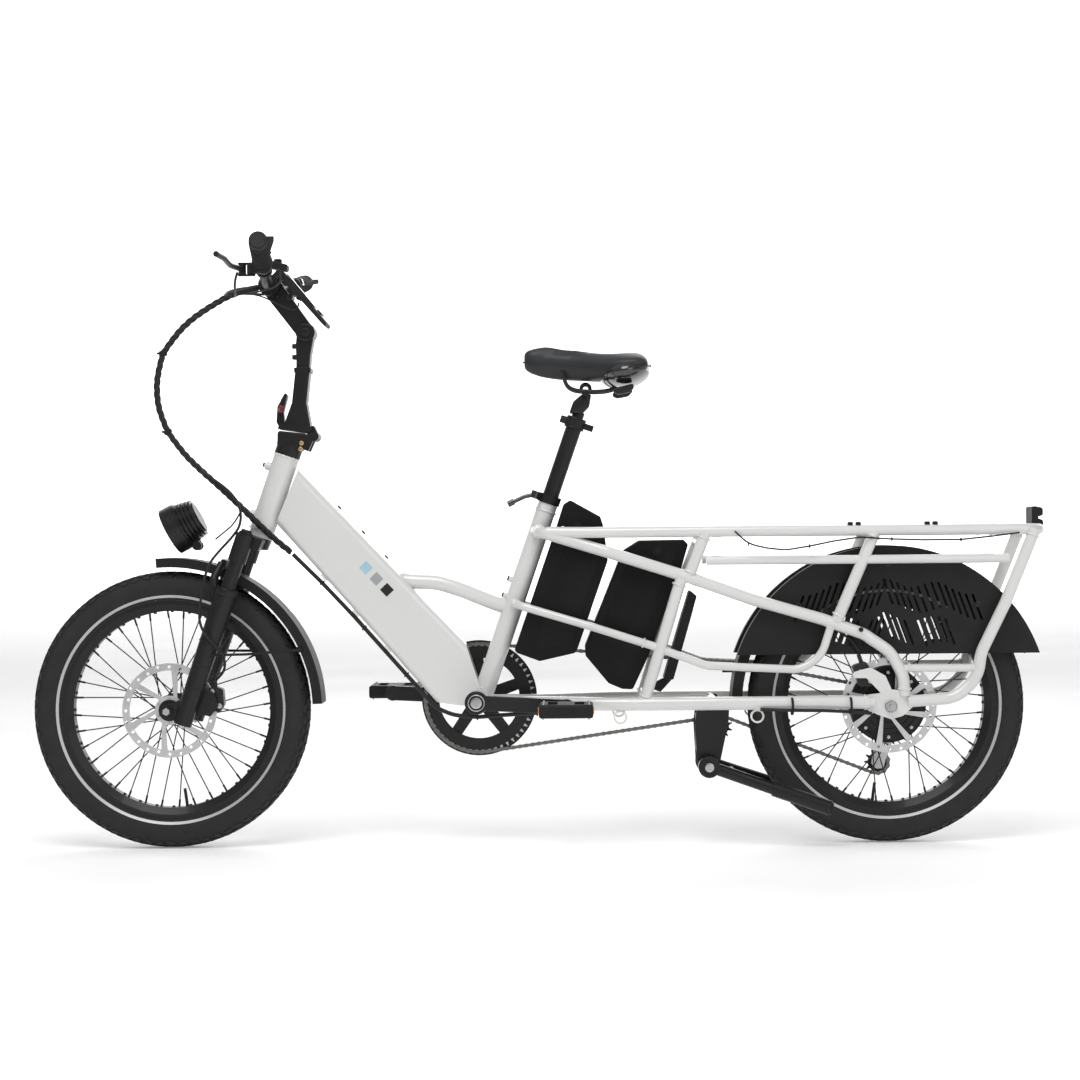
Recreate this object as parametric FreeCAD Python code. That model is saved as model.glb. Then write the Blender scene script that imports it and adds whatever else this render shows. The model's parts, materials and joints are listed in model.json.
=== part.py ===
import FreeCAD, Part
import math
import os

# Cargo bicycle with folding handlebar mast, two battery packs and a long rear rack.
# Units are millimetres. While the pieces are built, X runs rearward from the front axle,
# Y points to the drive side and Z runs up from the ground. The last step moves everything
# so that the origin is the bottom centre of the whole bounding box.

# ---- overall sizes -------------------------------------------------------------------
wheelbase = 1367.0
tyre_radius = 265.0
tyre_half_width = 31.0
rim_outer_radius = 210.0
rim_inner_radius = 188.0
rim_half_width = 19.0
rail_height = 597.0
rail_end_x = 1657.0
rail_half_spacing = 78.0
running_clearance = 0.05

# ---- steering column -----------------------------------------------------------------
steering_tilt = 18.9
steering_foot_x = 51.1
steering_foot_z = 247.5
fork_rake = 54.0
leg_rake = 18.0
leg_half_spacing = 68.0
lower_leg_top_radius = 21.5
lower_leg_foot_radius = 17.0
lower_leg_foot = -14.0
lower_leg_top = 254.5
stanchion_radius = 14.0
stanchion_foot = 125.0
lower_leg_bore_foot = 62.0
crown_foot = 342.0
crown_top = 366.0
crown_sleeve_foot = 310.0
crown_sleeve_radius = 17.5
steerer_radius = 14.3
head_tube_radius = 24.5
head_tube_foot = 378.0
head_tube_top = 530.0
fork_travel = 50.0

# ---- main frame ----------------------------------------------------------------------
crank_x = 586.0
crank_z = 277.5
shell_radius = 24.0
shell_half_width = 36.5
spindle_radius = 12.0
seat_tube_foot_x = 592.0
seat_tube_foot_z = 277.0
seat_tube_top_x = 723.0
seat_tube_top_z = 652.5
seat_tube_radius = 19.0
seat_post_radius = 15.45
down_tube_width = 54.0
down_tube_wall = 2.6
down_tube_rounding = 15.0
top_tube_radius = 14.3
chainstay_radius = 12.8
chainstay_height = 273.0
chainstay_half_spacing = 82.0
chainstay_inner_half_spacing = 32.0
rail_radius = 10.5
lower_rail_radius = 8.25
lower_rail_height = 542.0
diagonal_radius = 11.3
thin_stay_radius = 7.75
post_radius = 11.2
rear_half_spacing = 70.0
dropout_inner = 69.0
dropout_thickness = 8.0

# ---- drive ---------------------------------------------------------------------------
chain_y = 50.0
chain_half_width = 3.0
chain_half_height = 4.0
sprocket_half_width = 1.1
link_pitch = 12.7
chainring_teeth = 52
cog_teeth = 11
jockey_teeth = 11
idler_teeth = 10
guard_radius = 112.0
crank_length = 170.0
crank_drop_angle = 3.0
arm_inner = 72.0
arm_thickness = 14.0
pedal_inner = 104.0
pedal_width = 95.0
pedal_length = 100.0
pedal_height = 25.0
idler_x = 1054.0
idler_z = 218.0
lower_jockey_x = 1357.0
lower_jockey_z = 147.0
upper_jockey_x = 1375.0
upper_jockey_z = 200.0
guide_x = 1090.0
guide_z = 277.7
guide_radius = 64.0

# ---- brakes and hubs -----------------------------------------------------------------
axle_radius = 6.0
front_hub_half_width = 50.0
front_flange_radius = 29.0
front_flange_y = (-26.0, 30.0)
rotor_radius = 90.0
rotor_half_thickness = 1.15
front_rotor_y = -37.0
rear_rotor_y = -55.5
motor_radius = 72.5
motor_near = -45.0
driver_radius = 12.0
rear_flange_y = (-38.0, 14.0)
spoke_radius = 1.15
spoke_count = 36

# ---- batteries -----------------------------------------------------------------------
battery_width = 90.0
battery_rounding = 9.0

# ---- handlebar mast ------------------------------------------------------------------
fold_x = 277.0
fold_z = 785.0
latch_x = 215.0
latch_z = 805.5
latch_pin_radius = 3.0
stem_pivot_x = 262.0
stem_pivot_z = 984.0
bar_clamp_x = 194.6
bar_clamp_z = 1073.7
bar_radius = 11.1
bar_clamp_radius = 15.9
grip_radius = 16.5
grip_start = 212.0
lever_offset_x = -38.0
lever_offset_z = -7.0
lever_hub_half = 9.0
lever_hub_radius = 7.0
lever_pin_radius = 2.5
bar_half_length = 340.0

# ---- kickstand -----------------------------------------------------------------------
stand_pivot_x = 1025.0
stand_pivot_z = 151.0
stand_pivot_radius = 20.4
stand_leg_radius = 11.5
stand_sleeve_radius = 14.0
stand_axle_radius = 9.0

# ---- cables --------------------------------------------------------------------------
bundle_radius = 4.5
hose_radius = 2.5
wire_radius = 1.6
corner_share = 0.45

EPSILON = 0.001
Y_AXIS = FreeCAD.Vector(0, 1, 0)

nodes = {}
filled = {}
rides_with = {}
corner_radii = []


def vec(x, y, z):
    return FreeCAD.Vector(x, y, z)


def unit(vector):
    copy = FreeCAD.Vector(vector)
    copy.normalize()
    return copy


def rod(start, end, radius):
    along = end - start
    return Part.makeCylinder(radius, along.Length, start, along)


def cone_between(start, end, start_radius, end_radius):
    along = end - start
    return Part.makeCone(start_radius, end_radius, along.Length, start, along)


def disc(x, z, radius, y_from, y_to):
    return Part.makeCylinder(radius, y_to - y_from, vec(x, y_from, z), Y_AXIS)


def ring(x, z, outer, inner, y_from, y_to):
    return disc(x, z, outer, y_from, y_to).cut(disc(x, z, inner, y_from - 1, y_to + 1))


def joined(shapes):
    result = shapes[0]
    if len(shapes) > 1:
        result = shapes[0].multiFuse(shapes[1:])
    return result.removeSplitter()


def bend_wire(points, radius_cap=1000.0):
    # Straight runs joined by arcs that touch both runs.
    edges = []
    start = points[0]
    for i in range(1, len(points) - 1):
        before = points[i] - points[i - 1]
        after = points[i + 1] - points[i]
        turn = before.getAngle(after)
        if turn < 0.004:
            continue
        half_tangent = math.tan(turn / 2)
        setback = min(corner_share * min(before.Length, after.Length), radius_cap * half_tangent)
        radius = setback / half_tangent
        corner_radii.append(radius)
        entry = points[i] - unit(before) * setback
        leave = points[i] + unit(after) * setback
        inward = unit(unit(after) - unit(before))
        middle = points[i] + inward * (radius / math.cos(turn / 2) - radius)
        edges.append(Part.LineSegment(start, entry).toShape())
        edges.append(Part.Arc(entry, middle, leave).toShape())
        start = leave
    edges.append(Part.LineSegment(start, points[-1]).toShape())
    return Part.Wire(edges)


def bent_rod(points, radius, radius_cap=1000.0):
    if len(points) == 2:
        return rod(points[0], points[1], radius)
    path = bend_wire(points, radius_cap)
    section = Part.Wire([Part.makeCircle(radius, points[0], points[1] - points[0])])
    return path.makePipeShell([section], True, False)


def rounded_outline(points, rounding):
    # Closed outline in the XZ plane; every corner gets an arc no larger than its runs allow.
    edges = []
    count = len(points)
    leaves = []
    entries = []
    middles = []
    for i in range(count):
        here = vec(points[i][0], 0, points[i][1])
        last = vec(points[i - 1][0], 0, points[i - 1][1])
        following = vec(points[(i + 1) % count][0], 0, points[(i + 1) % count][1])
        before = here - last
        after = following - here
        turn = before.getAngle(after)
        half_tangent = math.tan(turn / 2)
        setback = min(rounding * half_tangent, corner_share * min(before.Length, after.Length))
        if setback < 0.05:
            entries.append(here)
            middles.append(None)
            leaves.append(here)
            continue
        radius = setback / half_tangent
        inward = unit(unit(after) - unit(before))
        entries.append(here - unit(before) * setback)
        middles.append(here + inward * (radius / math.cos(turn / 2) - radius))
        leaves.append(here + unit(after) * setback)
    for i in range(count):
        if middles[i] is not None:
            edges.append(Part.Arc(entries[i], middles[i], leaves[i]).toShape())
        edges.append(Part.LineSegment(leaves[i], entries[(i + 1) % count]).toShape())
    return Part.Wire(edges)


def plate(points, y_from, y_to, rounding=0.0):
    if rounding > 0:
        outline = rounded_outline(points, rounding)
    else:
        corners = [vec(p[0], 0, p[1]) for p in points]
        outline = Part.makePolygon(corners + [corners[0]])
    face = Part.Face(outline)
    face.translate(vec(0, y_from, 0))
    return face.extrude(vec(0, y_to - y_from, 0))


def spun(profile, x, z):
    # Turn a (radius, y) outline about the wheel axis through (x, z).
    corners = [vec(x + p[0], p[1], z) for p in profile]
    face = Part.Face(Part.makePolygon(corners + [corners[0]]))
    return face.revolve(vec(x, 0, z), Y_AXIS, 360)


def mirrored(shape):
    return shape.mirror(vec(0, 0, 0), Y_AXIS)


def both_sides(shape):
    return [shape, mirrored(shape)]


def softened(shape, radius, longer_than=0.0):
    # Round the edges when the solid allows it; keep the plain shape otherwise.
    edges = [e for e in shape.Edges if e.Length > longer_than]
    try:
        rounded = shape.makeFillet(radius, edges)
        if rounded.isValid() and len(rounded.Solids) == len(shape.Solids):
            return rounded
    except Exception:
        pass
    return shape


def polar(x, z, radius, degrees):
    return (x + radius * math.cos(math.radians(degrees)), z + radius * math.sin(math.radians(degrees)))


# Directions of the steering column: along it, and square to it towards the front.
tilt = math.radians(steering_tilt)
column_up = vec(math.sin(tilt), 0, math.cos(tilt))
column_front = vec(-math.cos(tilt), 0, math.sin(tilt))
column_foot = vec(steering_foot_x, 0, steering_foot_z)


def on_column(up, front, y=0.0):
    return column_foot + column_up * up + column_front * front + vec(0, y, 0)


def column_disc(up_from, up_to, radius, front=0.0, y=0.0):
    return rod(on_column(up_from, front, y), on_column(up_to, front, y), radius)


def column_plate(points, y_from, y_to, rounding=0.0):
    flat = []
    for up, front in points:
        place = on_column(up, front)
        flat.append((place.x, place.z))
    return plate(flat, y_from, y_to, rounding)


# Direction and foot of the seat tube.
seat_foot = vec(seat_tube_foot_x, 0, seat_tube_foot_z)
seat_top = vec(seat_tube_top_x, 0, seat_tube_top_z)
seat_up = unit(seat_top - seat_foot)
seat_length = (seat_top - seat_foot).Length
seat_back = vec(seat_up.z, 0, -seat_up.x)


def on_seat(up, back=0.0, y=0.0):
    return seat_foot + seat_up * up + seat_back * back + vec(0, y, 0)


def put(name, body, shape, outer=None):
    # Record a node, the body it moves with, and the filled outline its neighbours are cut by.
    nodes[name] = shape
    rides_with[name] = body
    filled[name] = outer if outer is not None else shape


# ---- frame ---------------------------------------------------------------------------
def make_head_tube():
    outer = column_disc(head_tube_foot, head_tube_top, head_tube_radius)
    lower_cup = column_disc(crown_top + 0.1, head_tube_foot + 8, head_tube_radius - 1.5)
    bosses = []
    for up in (404.0, 500.0):
        bosses.append(rod(on_column(up, 20), on_column(up, head_tube_radius + 8), 8.0))
        bosses.append(rod(on_column(up, 20), on_column(up, head_tube_radius + 11), 4.5))
    body = joined([outer, lower_cup] + bosses)
    bore = column_disc(crown_top - 5, head_tube_top + 5, steerer_radius + running_clearance)
    put("head_tube", "frame", body.cut(bore), body)


def down_tube_solid(inset, head_reach):
    outline = [(246.8, 722.0), (564.4, 385.4), (592.0, 300.0), (563.0, 268.0), (507.2, 275.3),
               (203.3, 618.7)]
    wire = Part.makePolygon([vec(p[0], 0, p[1]) for p in outline + [outline[0]]])
    face = Part.Face(wire)
    if inset > 0:
        face = face.makeOffset2D(-inset, 2)
    half = down_tube_width / 2 - inset
    face.translate(vec(0, -half, 0))
    solid = face.extrude(vec(0, 2 * half, 0))
    long_edges = []
    for edge in solid.Edges:
        ends = edge.Vertexes[1].Point - edge.Vertexes[0].Point
        if abs(ends.y) < 1 and edge.Length > 200:
            long_edges.append(edge)
    return solid.makeFillet(down_tube_rounding - inset, long_edges)


def make_down_tube():
    outer = down_tube_solid(0.0, 0.0)
    inner = down_tube_solid(down_tube_wall, 20.0)
    shell = Part.makeCylinder(shell_radius, 80, vec(crank_x, -40, crank_z), Y_AXIS)
    seat_line = rod(on_seat(-20), on_seat(200), seat_tube_radius)
    outer = outer.cut(shell).cut(seat_line).cut(filled["head_tube"])
    body = outer.cut(inner)
    clips = []
    for share in (0.30, 0.50, 0.70):
        x = 203.3 + share * (507.2 - 203.3)
        z = 618.7 + share * (275.3 - 618.7)
        block = Part.makeBox(16, 30, 5, vec(x - 8, -22, z - 3.2))
        block.rotate(vec(x, 0, z), Y_AXIS, 48.5)
        clips.append(block.cut(inner))
    solids = body.fuse(clips)
    biggest = max(solids.Solids, key=lambda s: s.Volume)
    put("down_tube", "frame", biggest, outer.fuse(clips))


def make_top_tube():
    points = [(425.0, 509.5), (473.0, 505.0), (507.0, 504.0), (550.0, 491.0), (619.0, 463.0), (662.0, 449.0)]
    tube = bent_rod([vec(x, 0, z) for x, z in points], top_tube_radius)
    tube = tube.cut(rod(on_seat(-4), on_seat(seat_length), seat_tube_radius))
    bridge = plate([(502.0, 497.0), (516.0, 494.0), (560.0, 396.0), (548.0, 398.0)], -2.5, 2.5)
    put("top_tube", "frame", tube)
    return bridge


def make_seat_tube():
    outer = rod(on_seat(-4), on_seat(seat_length), seat_tube_radius)
    bosses = []
    for up in (205.0, 238.0):
        bosses.append(rod(on_seat(up, -10), on_seat(up, -seat_tube_radius - 6), 5.5))
    body = joined([outer] + bosses)
    body = body.cut(disc(crank_x, crank_z, shell_radius, -60, 60))
    bore = rod(on_seat(30), on_seat(seat_length + 10), seat_post_radius + running_clearance)
    put("seat_tube", "frame", body.cut(bore), body)


def make_bottom_bracket_shell():
    outer = disc(crank_x, crank_z, shell_radius, -shell_half_width, shell_half_width)
    near_cup = disc(crank_x, crank_z, shell_radius - 3, -shell_half_width - 5, -shell_half_width)
    far_cup = disc(crank_x, crank_z, shell_radius - 3, shell_half_width, shell_half_width + 5)
    body = joined([outer, near_cup, far_cup])
    bore = disc(crank_x, crank_z, spindle_radius + running_clearance, -60, 60)
    put("bottom_bracket_shell", "frame", body.cut(bore), body)


def stay_points(side):
    inner = chainstay_inner_half_spacing * side
    outer = chainstay_half_spacing * side
    level = chainstay_height
    return [
        vec(605, inner, level),
        vec(705, inner, level),
        vec(772, 56.0 * side, level),
        vec(850, outer, level),
        vec(1325, outer, level),
    ]


def make_chainstays():
    stays = []
    for side in (-1, 1):
        stays.append(bent_rod(stay_points(side), chainstay_radius))
        stays.append(rod(vec(1325, chainstay_half_spacing * side, chainstay_height),
                         vec(1336, chainstay_half_spacing * side, chainstay_height), 9.0))
    front_bridge = rod(vec(745, -50, chainstay_height), vec(745, 50, chainstay_height), 9.0)
    rear_bridge = rod(vec(1035, -chainstay_half_spacing, chainstay_height),
                      vec(1035, chainstay_half_spacing, chainstay_height), 10.0)
    put("chainstays", "frame", joined(stays + [front_bridge, rear_bridge]))


def make_dropouts():
    outline = [(1318, 286), (1345, 289), (1372, 296), (1400, 292), (1416, 280), (1408, 262), (1390, 246),
               (1368, 240), (1345, 248), (1318, 260)]
    pieces = []
    for side in (-1, 1):
        low = dropout_inner if side > 0 else -dropout_inner - dropout_thickness
        pieces.append(plate(outline, low, low + dropout_thickness, 8.0))
        foot = dropout_inner * side
        end = (dropout_inner + dropout_thickness + 8) * side
        pieces.append(rod(vec(wheelbase, foot, tyre_radius), vec(wheelbase, end, tyre_radius), 11.0))
    caliper_arm = plate([(1352, 286), (1372, 290), (1358, 322), (1330, 338), (1300, 330), (1296, 318),
                         (1322, 318)], -dropout_inner - dropout_thickness, -dropout_inner, 5.0)
    hanger = plate([(1366, 262), (1394, 262), (1394, 226), (1384, 218), (1370, 226)], dropout_inner,
                   dropout_inner + dropout_thickness, 5.0)
    pieces.append(caliper_arm)
    pieces.append(hanger)
    axle = rod(vec(wheelbase, -dropout_inner - 2, tyre_radius), vec(wheelbase, dropout_inner + 2, tyre_radius),
               axle_radius)
    pieces.append(axle)
    pieces.append(disc(wheelbase, tyre_radius, 13.0, -dropout_inner - 1, -59.0))
    pieces.append(disc(wheelbase, tyre_radius, 13.0, 55.0, dropout_inner + 1))
    frame_part = joined(pieces)
    rings = []
    for x in (857.0, 1115.0):
        for side in (-1, 1):
            y = chainstay_half_spacing * side
            loop = ring(x, 248.5, 13.0, 9.5, y - 3, y + 3)
            neck = Part.makeBox(8, 6, 6, vec(x - 4, y - 3, 259.0))
            rings.append(joined([loop, neck]).cut(disc(x, 248.5, 9.5, y - 4, y + 4)))
    put("dropouts", "frame", Part.makeCompound(frame_part.Solids + rings))


def make_cargo_rails():
    half = rail_half_spacing
    top = bent_rod([vec(722, -62, 598), vec(800, -half, rail_height), vec(rail_end_x, -half, rail_height),
                    vec(rail_end_x, half, rail_height), vec(800, half, rail_height), vec(722, 62, 598)],
                   rail_radius, 46.0)
    boss = rod(vec(rail_end_x - 4, 0, rail_height), vec(rail_end_x + rail_radius + 3, 0, rail_height), 7.0)
    pieces = [top, boss]
    for side in (-1, 1):
        y = (half + 1) * side
        front_end = vec(1022, y, lower_rail_height)
        pieces.append(rod(front_end, vec(1592, y, lower_rail_height), lower_rail_radius))
    for x in (1045.0, 1330.0, 1560.0):
        pieces.append(rod(vec(x, -half, rail_height - 2), vec(x, half, rail_height - 2), 8.0))
    put("cargo_rails", "frame", joined(pieces))


def make_side_tubes():
    pieces = []
    for side in (-1, 1):
        wide = rail_half_spacing * side
        rear = rear_half_spacing * side
        diagonal = [vec(700, 10 * side, 601), vec(711, 60 * side, 598), vec(834.5, 76 * side, 560),
                    vec(980, wide, 513.7), vec(1107.6, wide, 468), vec(1239.6, wide, 430),
                    vec(1318, rear + 3 * side, 401), vec(1368, rear + 3 * side, 367),
                    vec(1392, rear + 3 * side, 322), vec(1394.5, rear + 3 * side, 284)]
        pieces.append(bent_rod(diagonal, diagonal_radius, 60.0))
        thin = [vec(657, 10 * side, 464), vec(664, 58 * side, 461), vec(804.7, 72 * side, 419),
                vec(920, wide, 382), vec(1020, wide, 344), vec(1200, wide, 335), vec(1238, wide, 362),
                vec(1258, wide, 424)]
        pieces.append(bent_rod(thin, thin_stay_radius, 60.0))
        pieces.append(rod(vec(974.5, wide, 510), vec(901.5, wide, 274), post_radius))
        pieces.append(rod(vec(1020, wide, 594), vec(988, wide, 512), post_radius))
        pieces.append(rod(vec(1340, wide, 594), vec(1266, wide, 425), post_radius))
        rear_post = [vec(1642, wide, 597), vec(1585.5, wide, 459.6), vec(1540, rear + 3 * side, 366),
                     vec(1532, rear + 3 * side, 318), vec(1490, rear + 3 * side, 279),
                     vec(1400, rear + 3 * side, 273)]
        pieces.append(bent_rod(rear_post, post_radius, 60.0))
        pieces.append(rod(vec(1393, rear + 3 * side, 336), vec(1535, rear + 3 * side, 336), 7.5))
    pieces.append(rod(vec(1011, -rail_half_spacing, 578), vec(1011, rail_half_spacing, 578), 8.0))
    pieces.append(rod(vec(905, -rail_half_spacing, 290), vec(905, rail_half_spacing, 290), 7.0))
    put("side_tubes", "frame", joined(pieces))


def battery_outline_front():
    return [(753, 651), (766, 659), (823, 627), (829.5, 606), (836.5, 543), (778, 377), (772.6, 368),
            (705.5, 353), (662, 369), (657.6, 375), (739.5, 610)]


def battery_outline_rear():
    return [(864, 561), (896.5, 581), (981, 582), (989.6, 573), (977, 530), (951, 463), (915, 367),
            (882, 298), (862, 299), (836, 310), (792.7, 362.6), (791.5, 380), (855.5, 538)]


def make_battery(name, outline, lock_x, lock_z):
    half = battery_width / 2
    body = softened(plate(outline, -half, half, 6.0), battery_rounding * 0.4, 0.0)
    lock = disc(lock_x, lock_z, 9.0, -half - 2, -half + 2)
    put(name, name, joined([body, lock]))


def make_frame_fittings():
    pieces = []
    collar = rod(on_seat(seat_length + 0.3), on_seat(seat_length + 17), seat_tube_radius + 2.5)
    ear_front = Part.makeBox(17, 22, 14, vec(0, -11, 0))
    ear_front.rotate(vec(0, 0, 0), Y_AXIS, 19.23)
    ear_place = on_seat(seat_length + 1.5, -35.0)
    ear_front.translate(ear_place)
    collar = joined([collar, ear_front])
    slot = Part.makeBox(40, 2.4, 30, vec(-40, -1.2, -2))
    slot.rotate(vec(0, 0, 0), Y_AXIS, 19.23)
    slot.translate(on_seat(seat_length - 1))
    collar = collar.cut(slot)
    bore = rod(on_seat(seat_length - 5), on_seat(seat_length + 30), seat_post_radius + running_clearance)
    pieces.append(collar.cut(bore))
    controller = softened(plate([(992, 486), (1006, 474), (960, 315), (940.5, 315)], -30, 30, 3.0), 1.2)
    pieces.append(controller)
    web = plate([(908, 300), (936, 290), (960, 316), (940, 316)], -4, 4)
    pieces.append(web)
    idler_arm = plate([(1026, 283), (1046, 283), (1064, 218), (1054, 208), (1044, 218)], 33.0, 38.0, 4.0)
    idler_pin = disc(idler_x, idler_z, 4.0, 38.0, chain_y + 6)
    idler_head = disc(idler_x, idler_z, 7.0, chain_y + 3.2, chain_y + 6)
    pieces.append(joined([idler_arm, idler_pin, idler_head]))
    top = guide_radius - chain_half_height - 0.4
    guide = disc(guide_x, guide_z, top, chain_y - 6, chain_y + 6)
    keep = Part.makeBox(64, 40, 26, vec(guide_x - 32, chain_y - 20, guide_z + top - 14))
    guide = guide.common(keep)
    bracket = plate([(guide_x - 6, guide_z + top - 4), (guide_x + 6, guide_z + top - 4),
                     (guide_x + 10, 338.0), (guide_x - 10, 338.0)], chain_y + 6, rail_half_spacing)
    pieces.append(joined([guide, bracket]))
    put("frame_fittings", "frame", Part.makeCompound(pieces))


def fender_shell(x, z, outer, thickness, half_width, depth, start, end):
    # Channel-shaped mudguard: a band round the axle with a side wall on each edge.
    band = ring(x, z, outer, outer - thickness, -half_width, half_width)
    wall_near = ring(x, z, outer, outer - depth, -half_width, -half_width + thickness)
    wall_far = ring(x, z, outer, outer - depth, half_width - thickness, half_width)
    whole = joined([band, wall_near, wall_far])
    reach = outer * 2
    corners = [(x, z)]
    steps = 8
    for i in range(steps + 1):
        corners.append(polar(x, z, reach, start + (end - start) * i / steps))
    wedge = plate(corners, -half_width - 2, half_width + 2)
    return whole.common(wedge)


def make_rear_fender():
    outer = 297.0
    half_width = 37.0
    fender = fender_shell(wheelbase, tyre_radius, outer, 2.5, half_width, 20.0, 70 - 0, 178)
    fender_tail = fender_shell(wheelbase, tyre_radius, outer, 2.5, half_width, 20.0, 20, 70)
    guards = []
    for side in (-1, 1):
        y_from = 52.0 if side > 0 else -55.0
        circle = disc(wheelbase, tyre_radius, outer + 6, y_from, y_from + 3)
        chord = Part.makeBox(900, 20, 400, vec(wheelbase - 450, y_from - 5, 362))
        panel = circle.common(chord)
        slots = []
        for i in range(-15, 16):
            x = wheelbase + i * 13.0
            reach = math.sqrt(max(0.0, (outer - 20) ** 2 - (x - wheelbase) ** 2))
            top = tyre_radius + reach
            low = 384.0
            middle = low + (top - low) * (0.36 + 0.05 * math.cos(i * 0.8))
            length = min(52.0, top - low - 16)
            if length < 16:
                continue
            lean = 20.0 if i < 0 else -20.0
            for level in (middle - length * 0.62, middle + length * 0.62):
                if level + length / 2 > top - 6 or level - length / 2 < low - 10:
                    continue
                slot = Part.makeBox(4.4, 20, length, vec(x - 2.2, y_from - 8, level - length / 2))
                slot.rotate(vec(x, 0, level), Y_AXIS, lean)
                slots.append(slot)
        panel = panel.cut(Part.makeCompound(slots))
        guards.append(panel)
        for spot in ((-170.0, 190.0), (0.0, 268.0), (170.0, 190.0)):
            x = wheelbase + spot[0]
            z = tyre_radius + spot[1]
            low_y = half_width - 1.5 if side > 0 else -52.5
            guards.append(disc(x, z, 6.0, low_y, low_y + 17))
    bands = ring(wheelbase, tyre_radius, outer + 6, outer - 0.5, half_width - 1, 55.0)
    bands_near = mirrored(bands)
    top_keep = Part.makeBox(900, 200, 400, vec(wheelbase - 450, -100, 362))
    pieces = [fender, fender_tail, bands.common(top_keep), bands_near.common(top_keep)] + guards
    whole = joined(pieces)
    put("rear_fender", "frame", Part.makeCompound(whole.Solids))


def make_taillight():
    x = 1646.0
    base = plate([(x, 640), (x + 12, 640), (x + 14, 596), (x + 12, 582), (x, 582)], -28, 28, 4.0)
    upper = softened(plate([(x + 12, 640), (x + 21, 637), (x + 21, 622), (x + 12, 620)], -26, 26, 3.0), 1.5)
    lower = softened(plate([(x + 12, 617), (x + 22, 614), (x + 20, 590), (x + 12, 586)], -26, 26, 3.0), 1.5)
    put("taillight", "frame", joined([base, upper, lower]))


def make_rear_caliper():
    outline = [(1296, 341), (1322, 349), (1342, 318), (1334, 302), (1310, 300)]
    body = softened(plate(outline, -68.6, -47, 5.0), 2.0)
    slot = disc(wheelbase, tyre_radius, rotor_radius + 3, rear_rotor_y - 2.4, rear_rotor_y + 2.4)
    bolts = [disc(1312, 329, 4.5, -71, -68), disc(1330, 312, 4.5, -71, -68)]
    body = body.cut(slot)
    neck = rod(vec(1316, -60, 342), vec(1309, -62, 362), 4.0)
    put("rear_caliper", "frame", joined([body, neck]))


def make_kickstand_bracket():
    outline = [(1004, 262), (1066, 262), (1064, 232), (1046, 150), (1040, 136), (1025, 130), (1010, 136),
               (1004, 150), (1000, 232)]
    plates = [plate(outline, 26, 31, 6.0), plate(outline, -31, -26, 6.0)]
    web = Part.makeBox(5, 54, 70, vec(1003, -27, 178))
    cap = Part.makeBox(50, 60, 5, vec(1010, -30, 256))
    pin = disc(stand_pivot_x, stand_pivot_z, stand_axle_radius, -50, 50)
    foot = disc(stand_pivot_x, stand_pivot_z, 16.0, -40, 40)
    bolts = [disc(stand_pivot_x, stand_pivot_z, 9.5, -70, -66.2),
             disc(stand_pivot_x, stand_pivot_z, 9.5, 66.2, 70)]
    axle = disc(stand_pivot_x, stand_pivot_z, 5.0, -69, 69)
    put("kickstand_bracket", "frame", joined(plates + [web, cap, pin, foot, axle] + bolts))


def make_frame_cables():
    pieces = []
    near = -15.0
    under = [vec(234.6, -15, 560), vec(290, near, 505), vec(350, near, 441), vec(410, near, 373),
             vec(470, near, 305), vec(505, near, 264), vec(540, near - 3, 250), vec(585, near - 5, 246),
             vec(640, -22, 250), vec(700, -32, 254)]
    pieces.append(bent_rod(under, 4.0, 80.0))
    motor = [vec(1120, -96, 262), vec(1180, -98, 260), vec(1240, -97, 259), vec(1290, -92, 256),
             vec(1330, -85, 252)]
    pieces.append(bent_rod(motor, 3.2, 80.0))
    brake = [vec(1310, -62, 366), vec(1298, -60, 388), vec(1270, -58, 408), vec(1225, -58, 424)]
    pieces.append(bent_rod(brake, hose_radius, 60.0))
    tail = [vec(1075, -92, 597), vec(1100, -94, 573), vec(1135, -94, 565), vec(1170, -94, 561),
            vec(1215, -94, 568), vec(1260, -93, 577), vec(1310, -91, 584), vec(1370, -91, 580),
            vec(1430, -91, 578), vec(1500, -91, 578), vec(1560, -91, 584), vec(1610, -91, 590)]
    pieces.append(bent_rod(tail, wire_radius, 60.0))
    put("frame_cables", "frame", Part.makeCompound(pieces))


# ---- steering and fork ---------------------------------------------------------------
def make_fork_crown():
    legs = []
    for side in (-1, 1):
        y = leg_half_spacing * side
        legs.append(column_disc(stanchion_foot, crown_top - 3, stanchion_radius, leg_rake, y))
        legs.append(column_disc(crown_sleeve_foot, crown_top - 1, crown_sleeve_radius, leg_rake, y))
        legs.append(column_disc(crown_top - 1, crown_top + 3, crown_sleeve_radius - 4, leg_rake, y))
    bridge = column_plate([(crown_foot, -14), (crown_foot, 34), (crown_top - 3, 35), (crown_top - 0.5, 20),
                           (crown_top - 0.5, -16)], -leg_half_spacing, leg_half_spacing, 4.0)
    race = column_disc(crown_foot + 4, crown_top, head_tube_radius - 2)
    steerer = column_disc(crown_foot + 4, head_tube_top + 14, steerer_radius)
    put("fork_crown", "steering", joined(legs + [bridge, race, steerer]))


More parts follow.
